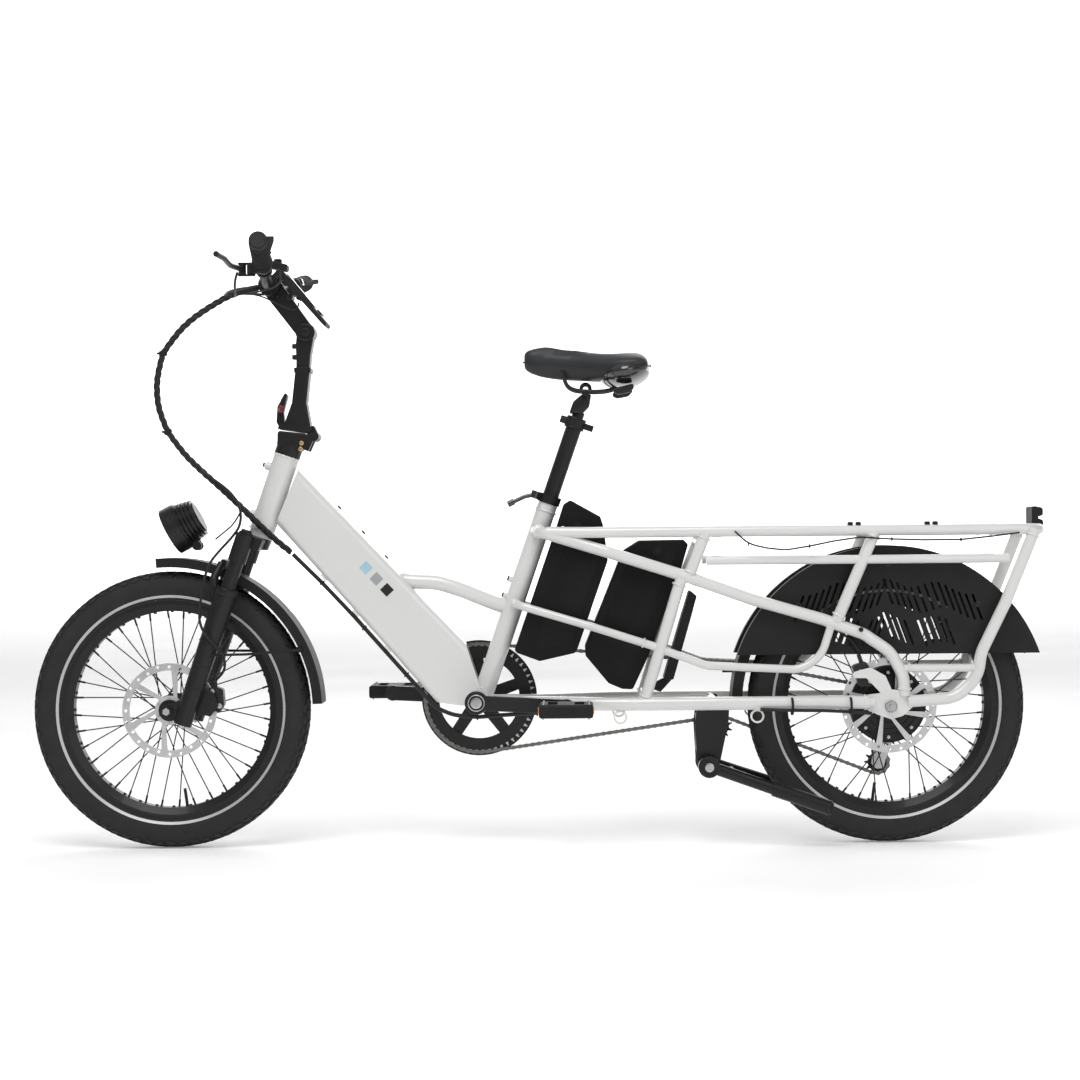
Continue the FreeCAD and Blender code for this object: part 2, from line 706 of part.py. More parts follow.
def make_stem_base():
    headset = column_disc(head_tube_top + 0.1, head_tube_top + 9, head_tube_radius + 0.6)
    collar = column_disc(head_tube_top + 8.5, head_tube_top + 22, head_tube_radius + 0.6)
    low_rear = on_column(head_tube_top + 16, -23.5)
    low_front = on_column(head_tube_top + 16, 24.0)
    outline = [(207.5, 797.0), (262.0, 790.5), (266.0, 770.0), (low_rear.x, low_rear.z),
               (low_front.x, low_front.z), (207.0, 776.0)]
    body = softened(plate(outline, -23, 23, 6.0), 3.0)
    knuckles = []
    for low, high in ((-23.0, -12.0), (12.0, 23.0)):
        knuckles.append(disc(fold_x, fold_z, 9.5, low, high))
        knuckles.append(plate([(fold_x - 2, fold_z - 9.5), (fold_x - 2, fold_z + 6), (255, 788), (255, 762),
                               (266, 756)], low, high, 2.0))
    pin = disc(fold_x, fold_z, 3.5, -24.5, 24.5)
    clear = disc(fold_x, fold_z, 9.5 + 0.4, -11.9, 11.9)
    body = body.cut(clear)
    bore = column_disc(head_tube_top - 5, head_tube_top + 14, steerer_radius)
    screws = []
    for x, z in ((254.0, 772.0), (252.0, 761.0)):
        screws.append(rod(vec(x, -24.6, z), vec(x, -20, z), 3.5))
    whole = joined([headset, collar, body] + knuckles + [pin] + screws)
    latch_room = Part.makeBox(24, 16.4, 16, vec(200, -8.2, 785))
    put("stem_base", "steering", whole.cut(bore).cut(latch_room))


def bundle_points():
    flat = [(166.0, 1068.0, -24.0), (131.0, 1058.0, -42.0), (92.5, 1037.0, -44.0), (48.0, 1008.0, -44.0),
            (16.0, 976.0, -43.0), (-6.0, 944.0, -42.0), (-17.0, 905.0, -42.0), (-18.5, 866.0, -42.0),
            (-13.0, 830.0, -42.0), (2.0, 795.0, -42.0), (27.0, 759.0, -42.0), (58.0, 727.0, -42.0),
            (101.0, 688.5, -41.0), (139.0, 651.7, -38.0), (173.5, 616.0, -32.0), (206.0, 584.0, -20.0),
            (231.0, 564.0, -15.0)]
    return [vec(x, y, z) for x, z, y in flat]


def make_cable_bundle():
    bundle = bent_rod(bundle_points(), bundle_radius, 120.0)
    hose = [vec(66, -51, 720), vec(96, -53, 700), vec(124, -56, 678), vec(142, -60, 650), vec(143, -66, 617),
            vec(128, -74, 594), vec(106, -82, 570), vec(86, -90, 545), vec(76, -95, 510), vec(70, -96, 470),
            vec(67, -97, 430), vec(90, -98, 398), vec(112, -91, 374), vec(113, -74, 348), vec(101, -56, 331),
            vec(91, -48, 323.5)]
    light = [vec(86, -12, 590), vec(104, -14, 604), vec(124, -20, 620), vec(136, -28, 640)]
    pieces = [bundle, bent_rod(hose, hose_radius, 60.0), bent_rod(light, wire_radius, 40.0)]
    put("cable_bundle", "steering", Part.makeCompound(pieces))


def make_fork_lowers():
    pieces = []
    bores = []
    for side in (-1, 1):
        y = leg_half_spacing * side
        low = on_column(lower_leg_foot, leg_rake, y)
        high = on_column(lower_leg_top - 12, leg_rake, y)
        pieces.append(cone_between(low, high, lower_leg_foot_radius, lower_leg_top_radius))
        pieces.append(column_disc(lower_leg_top - 12, lower_leg_top, lower_leg_top_radius + 1, leg_rake, y))
        bores.append(column_disc(lower_leg_bore_foot, crown_foot - 12, stanchion_radius + running_clearance,
                                 leg_rake, y))
        y_from = (front_hub_half_width + running_clearance) * side
        y_to = (front_hub_half_width + 12) * side
        lug = column_plate([(-14, 12), (-12, 50), (-4, 66), (8, 66), (16, 52), (40, 24), (44, 12)],
                           min(y_from, y_to), max(y_from, y_to), 6.0)
        pieces.append(lug)
        cap_from = y_to
        cap_to = y_to + 7 * side
        pieces.append(disc(0, tyre_radius, 10.0, min(cap_from, cap_to), max(cap_from, cap_to)))
        side_arch = [on_column(238, 34, 66 * side), on_column(262, 51, 61 * side),
                     on_column(297, 47, 42 * side)]
        pieces.append(bent_rod(side_arch, 8.0, 40.0))
    bridge = column_plate([(289, 38.5), (289, 50), (306, 50), (306, 40.0), (300, 38.5)], -46, 46, 3.0)
    pieces.append(bridge)
    axle = disc(0, tyre_radius, axle_radius, -front_hub_half_width - 6, front_hub_half_width + 6)
    pieces.append(axle)
    fender_post = column_plate([(289, 42), (289, 50), (282, 50), (282, 42)], -8, 8)
    pieces.append(fender_post)
    post_mount = column_plate([(14, 0), (16, -26), (40, -34), (60, -20), (64, 4)], -60, -52, 4.0)
    pieces.append(post_mount)
    body = joined(pieces)
    wheel_gap = disc(0, tyre_radius, rotor_radius + 3, -front_hub_half_width, front_hub_half_width)
    wheel_gap = wheel_gap.cut(disc(0, tyre_radius, axle_radius + 0.0, -60, 60))
    body = body.cut(Part.makeCompound(bores)).cut(wheel_gap)
    put("fork_lowers", "fork_slider", body)


def make_front_caliper():
    outline = [(72, 300), (84, 312), (104, 306), (106, 276), (98, 262), (84, 264)]
    body = softened(plate(outline, -51.9, -27, 5.0), 2.0)
    slot = disc(0, tyre_radius, rotor_radius + 3, front_rotor_y - 2.4, front_rotor_y + 2.4)
    neck = rod(vec(90, -48, 300), vec(89, -48, 320), 4.0)
    bolts = [disc(84, 302, 4.0, -53, -50), disc(98, 274, 4.0, -53, -50)]
    put("front_caliper", "fork_slider", joined([body.cut(slot), neck]))


def make_front_fender():
    shell = fender_shell(0, tyre_radius, 290.0, 2.5, 35.0, 18.0, 2, 95)
    pieces = [shell]
    for side in (-1, 1):
        anchor = polar(0, tyre_radius, 278.0, 24.0)
        foot = on_column(128, leg_rake - 8, (leg_half_spacing + 16) * side)
        stay = [foot, vec(150, 66 * side, 372), vec(anchor[0] - 4, 38.5 * side, anchor[1])]
        pieces.append(bent_rod(stay, 2.5, 30.0))
        stay_end = vec(anchor[0] - 6, 42 * side, anchor[1])
        pieces.append(rod(vec(anchor[0] - 6, 33.5 * side, anchor[1]), stay_end, 5.0))
    pieces.append(rod(on_column(276, 46), on_column(284, 46), 7.0))
    whole = joined(pieces)
    put("front_fender", "fork_slider", Part.makeCompound(whole.Solids))


lamp_front = (-2.0, 604.5)
lamp_rear = (58.0, 636.0)
lamp_radius = 46.0


def make_headlight():
    front = vec(lamp_front[0], 0, lamp_front[1])
    rear = vec(lamp_rear[0], 0, lamp_rear[1])
    along = unit(rear - front)
    barrel = rod(front, front + along * 26, lamp_radius)
    fins = []
    for i in range(5):
        start = front + along * (26 + i * 7.5)
        fins.append(rod(start, start + along * 4.5, lamp_radius - 3 - i * 1.5))
        fins.append(rod(start + along * 4.0, start + along * 7.6, lamp_radius - 10 - i * 1.5))
    inside = rod(front - along, front + along * 3, lamp_radius - 4)
    body = joined([barrel] + fins)
    back = unit(vec(along.z, 0, -along.x))
    ear_place = front + along * 34 + back * 38
    ears = []
    for low in (-13.0, 7.0):
        ears.append(Part.makeCylinder(9.0, 6.0, vec(ear_place.x, low, ear_place.z) + back * 10, Y_AXIS))
        base = Part.makeBox(16, 6, 22, vec(-8, low, 0))
        base.rotate(vec(0, 0, 0), Y_AXIS, -math.degrees(math.atan2(back.x, back.z)) * -1)
        base.translate(vec(ear_place.x, 0, ear_place.z) - back * 10)
        ears.append(base)
    body = joined([body] + ears)
    put("headlight_housing", "headlight", body.cut(inside))
    lens = rod(front + along * 0.4, front + along * 3, lamp_radius - 4)
    put("headlight_lens", "headlight", lens)
    pivot = vec(ear_place.x, 0, ear_place.z) + back * 10
    return pivot, along, back


# ---- wheels --------------------------------------------------------------------------
def make_tyre(name, x, body):
    r = tyre_radius
    w = tyre_half_width
    arcs = [((-21, 210.02), (-w, r - 28), (-25, r - 7)), ((-25, r - 7), (0, r), (25, r - 7)),
            ((25, r - 7), (w, r - 28), (21, 210.02))]
    inner = [((17.5, 210.02), (w - 4, r - 28), (20, r - 12)), ((20, r - 12), (0, r - 6), (-20, r - 12)),
             ((-20, r - 12), (-w + 4, r - 28), (-17.5, 210.02))]
    edges = []
    for group in (arcs, inner):
        for a, b, c in group:
            begin = vec(x + a[1], a[0], r)
            end = vec(x + c[1], c[0], r)
            edges.append(Part.Arc(begin, vec(x + b[1], b[0], r), end).toShape())
        last = group[-1][2]
        following = inner[0][0] if group is arcs else arcs[0][0]
        begin = vec(x + last[1], last[0], r)
        end = vec(x + following[1], following[0], r)
        edges.append(Part.LineSegment(begin, end).toShape())
    face = Part.Face(Part.Wire(edges))
    put(name, body, face.revolve(vec(x, 0, r), Y_AXIS, 360))


def make_rim(name, x, body, valve_angle):
    w = rim_half_width
    outer = rim_outer_radius
    inner = rim_inner_radius
    profile = [(outer, -w), (outer, -w + 3), (outer - 5, -w + 4), (outer - 8, -7), (outer - 8, 7),
               (outer - 5, w - 4), (outer, w - 3), (outer, w), (outer - 9, w), (inner, 11), (inner, -11),
               (outer - 9, -w)]
    shape = spun(profile, x, tyre_radius)
    near = polar(x, tyre_radius, inner - 34, valve_angle)
    far = polar(x, tyre_radius, inner + 6, valve_angle)
    valve = rod(vec(near[0], 0, near[1]), vec(far[0], 0, far[1]), 3.0)
    put(name, body, joined([shape, valve]))


def make_spokes(name, x, body, flange_radius, flanges, crosses, turned):
    spokes = []
    half = spoke_count // 2
    rim = rim_inner_radius
    for side in (0, 1):
        for i in range(half):
            hub_angle = 360.0 * i / half + side * 10.0 + turned
            leading = 1 if i % 2 == 0 else -1
            rim_angle = hub_angle + leading * crosses * 20.0
            lift = 3.6 if leading > 0 else -3.6
            if side == 0:
                lift = -lift
            rim_y = -5.0 if side == 0 else 5.0
            a = polar(x, tyre_radius, flange_radius - 2, hub_angle)
            b = polar(x, tyre_radius, rim + 0.02, rim_angle)
            start = vec(a[0], flanges[side] + lift, a[1])
            end = vec(b[0], rim_y, b[1])
            share = start + (end - start) * 0.92
            spoke = joined([rod(start, end, spoke_radius), rod(share, end, 2.0)])
            spokes.append(spoke)
    keep = disc(x, tyre_radius, rim, -60, 60)
    put(name, body, Part.makeCompound([s.common(keep) for s in spokes]))


def make_front_hub():
    near, far = front_flange_y
    profile = [(0, -front_hub_half_width + 0.3), (11, -front_hub_half_width + 0.3), (13, -44), (20, -43),
               (22, near - 6), (front_flange_radius - 3, near - 1.5), (front_flange_radius, near - 1.5),
               (front_flange_radius, near + 1.5), (17, near + 4), (15, 0), (17, far - 4),
               (front_flange_radius, far - 1.5), (front_flange_radius, far + 1.5), (18, far + 3), (14, 44),
               (11, front_hub_half_width - 0.3), (0, front_hub_half_width - 0.3)]
    body = spun(profile, 0, tyre_radius)
    bore = disc(0, tyre_radius, axle_radius + running_clearance, -70, 70)
    put("front_hub", "front_wheel", body.cut(bore))


def make_hub_motor():
    near, far = rear_flange_y
    profile = [(0, -54), (16, -54), (24, -50), (30, motor_near - 1), (60, motor_near),
               (motor_radius - 6, near - 3),
               (motor_radius, near - 2), (motor_radius, near + 2), (motor_radius - 5, near + 4),
               (motor_radius - 5, far - 11), (motor_radius, far - 9), (motor_radius, far - 5),
               (motor_radius - 8, far - 1), (40, far), (driver_radius, far + 1), (driver_radius, 53), (0, 53)]
    body = spun(profile, wheelbase, tyre_radius)
    bore = disc(wheelbase, tyre_radius, axle_radius + running_clearance, -70, 70)
    put("hub_motor", "rear_wheel", body.cut(bore))


def make_rotor(name, x, body, y, inner_radius, arms, sweep):
    low = y - rotor_half_thickness
    high = y + rotor_half_thickness
    track = ring(x, tyre_radius, rotor_radius, rotor_radius - 14, low, high)
    holes = []
    for i in range(24):
        place = polar(x, tyre_radius, rotor_radius - 7 + 2.5 * math.sin(i * 2.1), i * 15.0)
        holes.append(disc(place[0], place[1], 3.0, low - 1, high + 1))
    track = track.cut(Part.makeCompound(holes))
    centre = ring(x, tyre_radius, inner_radius + 8, inner_radius, low, high)
    pieces = [track, centre]
    for i in range(arms):
        base = 360.0 * i / arms
        a1 = polar(x, tyre_radius, inner_radius + 4, base - 8)
        a2 = polar(x, tyre_radius, inner_radius + 4, base + 10)
        b1 = polar(x, tyre_radius, rotor_radius - 12, base + sweep + 5)
        b2 = polar(x, tyre_radius, rotor_radius - 12, base + sweep - 4)
        pieces.append(plate([a1, a2, b1, b2], low, high))
    put(name, body, joined(pieces))


# ---- drive ---------------------------------------------------------------------------
def pitch_radius(teeth):
    return link_pitch / (2 * math.sin(math.pi / teeth))


def toothed(x, z, teeth, y, bore):
    # A sprocket as a plain disc that reaches the roots of its teeth.
    root = pitch_radius(teeth) - chain_half_height - 0.25
    return ring(x, z, root, bore, y - sprocket_half_width, y + sprocket_half_width)


def chain_circles():
    return [
        (crank_x, crank_z, pitch_radius(chainring_teeth), 1),
        (idler_x, idler_z, pitch_radius(idler_teeth), -1),
        (lower_jockey_x, lower_jockey_z, pitch_radius(jockey_teeth), 1),
        (upper_jockey_x, upper_jockey_z, pitch_radius(jockey_teeth), -1),
        (wheelbase, tyre_radius, pitch_radius(cog_teeth) + 0.6, 1),
        (guide_x, guide_z, guide_radius, 1),
    ]


def belt_wire(circles):
    # Closed run round a set of wheels; each wheel is passed left-handed (+1) or right-handed (-1).
    count = len(circles)
    leave = []
    arrive = [None] * count
    for i in range(count):
        x1, z1, r1, s1 = circles[i]
        x2, z2, r2, s2 = circles[(i + 1) % count]
        apart = math.hypot(x2 - x1, z2 - z1)
        heading = math.atan2(z2 - z1, x2 - x1) - math.asin((s2 * r2 - s1 * r1) / apart)
        normal = (-math.sin(heading), math.cos(heading))
        leave.append((x1 - s1 * r1 * normal[0], z1 - s1 * r1 * normal[1]))
        arrive[(i + 1) % count] = (x2 - s2 * r2 * normal[0], z2 - s2 * r2 * normal[1])
    edges = []
    for i in range(count):
        x, z, r, s = circles[i]
        angle_in = math.atan2(arrive[i][1] - z, arrive[i][0] - x)
        angle_out = math.atan2(leave[i][1] - z, leave[i][0] - x)
        swept = (s * (angle_out - angle_in)) % (2 * math.pi)
        middle = angle_in + s * swept / 2
        mid = vec(x + r * math.cos(middle), 0, z + r * math.sin(middle))
        begin = vec(arrive[i][0], 0, arrive[i][1])
        end = vec(leave[i][0], 0, leave[i][1])
        edges.append(Part.Arc(begin, mid, end).toShape())
        following = vec(arrive[(i + 1) % count][0], 0, arrive[(i + 1) % count][1])
        edges.append(Part.LineSegment(end, following).toShape())
    return Part.Wire(edges)


def shifted_circles(offset):
    return [(x, z, r + s * offset, s) for x, z, r, s in chain_circles()]


def make_chain():
    outer = Part.Face(belt_wire(shifted_circles(chain_half_height)))
    inner = Part.Face(belt_wire(shifted_circles(-chain_half_height)))
    band = outer.cut(inner)
    band.translate(vec(0, chain_y - chain_half_width, 0))
    put("chain", "frame", band.extrude(vec(0, 2 * chain_half_width, 0)))


def make_chainring():
    root = pitch_radius(chainring_teeth) - chain_half_height - 0.25
    ring_body = ring(crank_x, crank_z, root, 78.0, chain_y - 1.6, chain_y + 1.6)
    guard = ring(crank_x, crank_z, guard_radius, 84.0, chain_y + 4.0, chain_y + 7.0)
    spider_y = (chain_y + 1.6, chain_y + 4.0)
    joints = []
    arms = []
    for i in range(5):
        angle = 72.0 * i + 20
        spot = polar(crank_x, crank_z, 88.0, angle)
        joints.append(disc(spot[0], spot[1], 7.5, chain_y - 1.6, chain_y + 9.0))
        a1 = polar(crank_x, crank_z, 20.0, angle + 38)
        a2 = polar(crank_x, crank_z, 20.0, angle - 38)
        b1 = polar(crank_x, crank_z, 90.0, angle - 7)
        b2 = polar(crank_x, crank_z, 90.0, angle + 7)
        arms.append(plate([a1, a2, b1, b2], chain_y + 1.6, chain_y + 7.0))
    hub = disc(crank_x, crank_z, 24.0, chain_y + 1.6, arm_inner)
    body = joined([ring_body, guard, hub] + arms + joints)
    bore = disc(crank_x, crank_z, spindle_radius, 0, 100)
    put("chainring", "crank", body.cut(bore))


def crank_end(side):
    # The near arm points rearward and slightly down; the far arm is opposite.
    angle = -crank_drop_angle if side < 0 else 180.0 - crank_drop_angle
    return polar(crank_x, crank_z, crank_length, angle)


def make_crank_arms():
    pieces = [disc(crank_x, crank_z, spindle_radius, -arm_inner - 2, arm_inner + 2)]
    for side in (-1, 1):
        end = crank_end(side)
        angle = -crank_drop_angle if side < 0 else 180.0 - crank_drop_angle
        low = arm_inner if side > 0 else -arm_inner - arm_thickness
        high = low + arm_thickness
        hub = disc(crank_x, crank_z, 22.0, low, high)
        tip = disc(end[0], end[1], 15.0, low, high)
        web = Part.makeBox(crank_length, arm_thickness, 28, vec(crank_x, low, crank_z - 14))
        web.rotate(vec(crank_x, 0, crank_z), Y_AXIS, -angle)
        y_root = (arm_inner + arm_thickness - 1) * side
        y_end = (pedal_inner + pedal_width - 6) * side
        axle = rod(vec(end[0], y_root, end[1]), vec(end[0], y_end, end[1]), 5.0)
        shoulder = rod(vec(end[0], y_root, end[1]), vec(end[0], (pedal_inner - 1) * side, end[1]), 8.0)
        arm = softened(joined([hub, tip, web]), 2.0)
        pieces += [arm, axle, shoulder]
        if side < 0:
            boss_low = -arm_inner
            pieces.append(disc(crank_x, crank_z, 17.0, boss_low, -shell_half_width - 6))
    put("crank_arms", "crank", joined(pieces))


def make_pedal(name, side):
    end = crank_end(side)
    low = pedal_inner if side > 0 else -pedal_inner - pedal_width
    high = low + pedal_width
    x0 = end[0] - pedal_length / 2
    z0 = end[1] - pedal_height / 2
    frame = Part.makeBox(pedal_length, pedal_width, pedal_height, vec(x0, low, z0))
    frame = softened(frame, 5.0)
    windows = []
    for dx in (-34.0, 16.0):
        windows.append(Part.makeBox(18, pedal_width - 30, 60, vec(end[0] + dx, low + 15, end[1] - 30)))
    body = frame.cut(Part.makeCompound(windows))
    bore = disc(end[0], end[1], 5.0 + running_clearance, low - 3, low + pedal_width + 3)
    cap = disc(end[0], end[1], 7.0, high - 4, high) if side > 0 else disc(end[0], end[1], 7.0, low, low + 4)
    put(name, name, joined([body.cut(bore), cap]))


def make_cassette():
    pieces = []
    teeth = (cog_teeth, 13, 15, 18, 21, 24)
    for i in range(len(teeth)):
        y = chain_y - 4.4 * i
        radius = pitch_radius(teeth[i]) - 2.0
        if i == 0:
            radius = pitch_radius(cog_teeth) + 0.6 - chain_half_height - 0.3
        pieces.append(disc(wheelbase, tyre_radius, radius, y - 0.9, y + 0.9))
    pieces.append(disc(wheelbase, tyre_radius, 14.5, 22.2, chain_y + 4.0))
    bore = disc(wheelbase, tyre_radius, driver_radius + running_clearance, 0, 100)
    put("cassette", "cassette", joined(pieces).cut(bore))


def make_derailleur():
    body = plate([(1364, 240), (1380, 246), (1392, 236), (1394, 214), (1384, 190), (1368, 190), (1362, 210)],
                 57.5, 68.9, 5.0)
    link = disc(upper_jockey_x, upper_jockey_z, 9.0, 55.4, 58)
    bolt = disc(1380, 240, 6.0, dropout_inner + dropout_thickness, dropout_inner + dropout_thickness + 5)
    pin = disc(upper_jockey_x, upper_jockey_z, 3.0, chain_y - 8, 58)
    put("derailleur", "frame", Part.makeCompound([joined([body, link, pin]), bolt]))


def make_derailleur_cage():
    ux, uz = upper_jockey_x, upper_jockey_z
    lx, lz = lower_jockey_x, lower_jockey_z
    outline = [(ux - 11, uz + 3), (ux - 2, uz + 12), (ux + 12, uz + 6), (ux + 12, uz - 14),
               (lx + 16, lz + 4),
               (lx + 12, lz - 12), (lx - 2, lz - 13), (lx - 12, lz - 2), (lx - 8, lz + 20)]
    outer_plate = plate(outline, chain_y + 3.4, chain_y + 5.2, 5.0)
    inner_plate = plate(outline, chain_y - 5.2, chain_y - 3.4, 5.0)
    windows = plate([(ux - 3, uz - 16), (ux + 6, uz - 18), (lx + 7, lz + 16), (lx - 2, lz + 20)], 0, 90, 3.0)
    lower_pin = disc(lx, lz, 3.0, chain_y - 5.0, chain_y + 6.4)
    bore = disc(ux, uz, 3.0 + running_clearance, 0, 90)
    cage = joined([outer_plate.cut(windows), inner_plate.cut(windows), lower_pin]).cut(bore)
    put("derailleur_cage", "derailleur_cage", cage)


def make_jockey(name, x, z):
    root = pitch_radius(jockey_teeth) - chain_half_height - 0.3
    body = ring(x, z, root, 3.0 + running_clearance, chain_y - 1.6, chain_y + 1.6)
    put(name, name, body)


def make_chain_idler():
    root = pitch_radius(idler_teeth) - chain_half_height - 0.3
    body = ring(idler_x, idler_z, root, 4.0 + running_clearance, chain_y - 2.6, chain_y + 2.6)
    holes = []
    for i in range(5):
        spot = polar(idler_x, idler_z, 10.5, 72.0 * i)
        holes.append(disc(spot[0], spot[1], 2.2, 0, 90))
    put("chain_idler", "chain_idler", body.cut(Part.makeCompound(holes)))


# ---- kickstand -----------------------------------------------------------------------
def make_kickstand_legs():
    pieces = []
    for side in (-1, 1):
        hub_low = 42.0 if side > 0 else -66.0
        pieces.append(disc(stand_pivot_x, stand_pivot_z, stand_pivot_radius, hub_low, hub_low + 24.0))
        leg = [vec(1027, 53 * side, 151), vec(1084, 58 * side, 131), vec(1140, 69 * side, 112),
               vec(1255, 86 * side, 73)]
        pieces.append(bent_rod(leg, stand_leg_radius, 120.0))
        start = vec(1140, 69 * side, 112)
        along = unit(leg[3] - leg[2])
        pieces.append(rod(start + along * 6, leg[3] - along * 4, stand_sleeve_radius))
    pieces.append(rod(vec(1072, -58, 135), vec(1072, 58, 135), 7.0))
    body = joined(pieces)
    bore = disc(stand_pivot_x, stand_pivot_z, stand_axle_radius + running_clearance, -50.3, 50.3)
    thin = disc(stand_pivot_x, stand_pivot_z, 5.0 + running_clearance, -90, 90)
    put("kickstand_legs", "kickstand", body.cut(bore).cut(thin))


# ---- saddle --------------------------------------------------------------------------
def make_seatpost():
    top = vec(784.4, 0, 828.5)
    reach = (top - seat_foot).Length
    post = rod(on_seat(150), on_seat(reach), seat_post_radius)
    ring_clamp = rod(on_seat(reach - 72), on_seat(reach - 48), seat_post_radius + 3.5)
    front_knob = rod(on_seat(reach - 60, -14), on_seat(reach - 60, -27), 8.0)
    rear_tab = Part.makeBox(24, 14, 14, vec(0, -7, -7))
    rear_tab.rotate(vec(0, 0, 0), Y_AXIS, 19.23)
    rear_tab.translate(on_seat(reach - 60, 14))
    outline = [(762, 824), (771, 848), (792, 862), (812, 860), (806, 836), (790, 822)]
    head = softened(plate(outline, -17, 17, 5.0), 2.0)
    elastomer = ring(797.0, 872.5, 12.0, 5.0, -14, 14)
    neck = plate([(788, 852), (806, 852), (806, 864), (788, 864)], -12, 12)
    rails = []
    for side in (-1, 1):
        y = 22.0 * side
        rails.append(bent_rod([vec(722, y, 890), vec(742, y, 872), vec(770, y, 866), vec(838, y, 866)],
                              3.5, 20.0))
    clamp = rod(vec(797, -27, 862), vec(797, 27, 862), 6.0)
    fittings = [ring_clamp, front_knob, rear_tab, head, elastomer, neck, clamp]
    put("seatpost", "seat", joined([post] + fittings + rails))


def saddle_sections():
    # Station X, half width, top height and underside height from the nose to the tail.
    return [
        (674.0, 9.0, 944.0, 914.0),
        (684.0, 19.0, 949.5, 906.0),
        (706.0, 25.0, 950.0, 901.5),
        (742.0, 30.0, 946.0, 896.0),
        (780.0, 44.0, 941.0, 893.5),
        (815.0, 66.0, 935.0, 892.0),
        (850.0, 86.0, 933.0, 892.0),
        (885.0, 95.0, 934.0, 894.0),
        (908.0, 90.0, 934.0, 898.0),
        (922.0, 70.0, 926.0, 903.0),
    ]


def saddle_ring(x, half_width, top, foot):
    middle = (top + foot) / 2
    curve = Part.BSplineCurve()
    count = 16
    places = []
    for i in range(count):
        angle = 2 * math.pi * i / count
        sine = math.sin(angle)
        cosine = math.cos(angle)
        shape_z = math.copysign(abs(sine) ** 0.75, sine)
        shape_y = math.copysign(abs(cosine) ** 0.8, cosine)
        places.append(vec(x, half_width * shape_y, middle + (top - foot) / 2 * shape_z))
    curve.interpolate(Points=places, PeriodicFlag=True)
    return Part.Wire([curve.toShape()])


def make_saddle():
    rings = [saddle_ring(*station) for station in saddle_sections()]
    body = Part.makeLoft(rings, True, False)
    put("saddle", "seat", body)


def make_seat_clamp_lever():
    pivot = on_seat(seat_length + 9, -29.0)
    centre = pivot + vec(0, -19, 0)
    cam = rod(centre - seat_up * 7, centre + seat_up * 7, 7.9)
    route = [pivot + vec(0, -19, 0), pivot + vec(-20, -21, -4), pivot + vec(-46, -24, -16)]
    lever = bent_rod(route, 4.2, 30.0)
    tip = rod(pivot + vec(-40, -23.5, -13), pivot + vec(-52, -24.5, -19), 6.2)
    put("seat_clamp_lever", "seat_clamp_lever", joined([cam, lever, tip]))
    return pivot


# ---- mast and handlebar --------------------------------------------------------------
def make_mast():
    body = plate([(214, 801.0), (272, 795.0), (263, 850), (270, 913), (242, 913), (235, 850), (222, 815)],
                 -20, 20, 6.0)
    body = softened(body, 4.0)
    foot = plate([(208, 799.5), (262, 791.2), (274, 795), (270, 806), (212, 811)], -23, 23, 2.0)
    knuckle = disc(fold_x, fold_z, 9.5, -11.8, 11.8)
    knuckle_arm = plate([(fold_x - 8, fold_z - 4), (fold_x + 9.3, fold_z), (276, 806), (262, 803),
                         (264, 790)],
                        -11.8, 11.8, 2.0)
    lower = joined([body, foot, knuckle, knuckle_arm])
    lower = lower.cut(disc(fold_x, fold_z, 3.5 + running_clearance, -40, 40))
    lower = lower.cut(Part.makeBox(30, 16.4, 42, vec(194.5, -8.2, 790)))
    latch_pin = disc(latch_x, latch_z, latch_pin_radius, -16, 16)
    upper = softened(plate([(243.5, 900), (268, 900), (271, 940), (277, 972), (271, 998), (247, 994),
                            (243, 962), (244, 930)], -18, 18, 5.0), 3.5)
    disc_part = disc(stem_pivot_x, stem_pivot_z, 18.5, -21, 21)
    collar = softened(plate([(240, 907), (272, 907), (272, 917), (240, 917)], -21, 21, 2.0), 1.0)
    bolts = []
    for z in (938.0, 959.0):
        bolts.append(rod(vec(238, -0.0, z), vec(250, -0.0, z), 5.0))
    whole = joined([lower, upper, disc_part, collar, latch_pin] + bolts)
    gap = disc(stem_pivot_x, stem_pivot_z, 19.0, -12.6, 12.6)
    pin = disc(stem_pivot_x, stem_pivot_z, 6.0, -22, 22)
    put("mast", "mast", joined([whole.cut(gap), pin]))


def make_latch_lever():
    x = latch_x
    z = latch_z
    pieces = [disc(x, z, 6.5, -7.8, 7.8)]
    pieces.append(plate([(x - 6.4, z - 1), (x + 5, z + 3), (x + 3, z + 27), (x + 11, z + 58), (x + 7, z + 65),
                         (x - 9, z + 38), (x - 11, z + 8)], -7.8, 7.8, 4.0))
    pieces.append(plate([(x - 9.5, z + 22), (x + 0.5, z + 22), (x + 11, z + 58), (x + 7, z + 65),
                         (x - 2, z + 50)], -12, 12, 4.0))
    body = softened(joined(pieces), 1.0)
    put("latch_lever", "latch_lever", body.cut(disc(x, z, latch_pin_radius + running_clearance, -30, 30)))


def bar_points(side):
    return [vec(bar_clamp_x, 0, bar_clamp_z), vec(bar_clamp_x, 52 * side, bar_clamp_z),
            vec(206, 185 * side, 1091), vec(219, bar_half_length * side, 1118)]


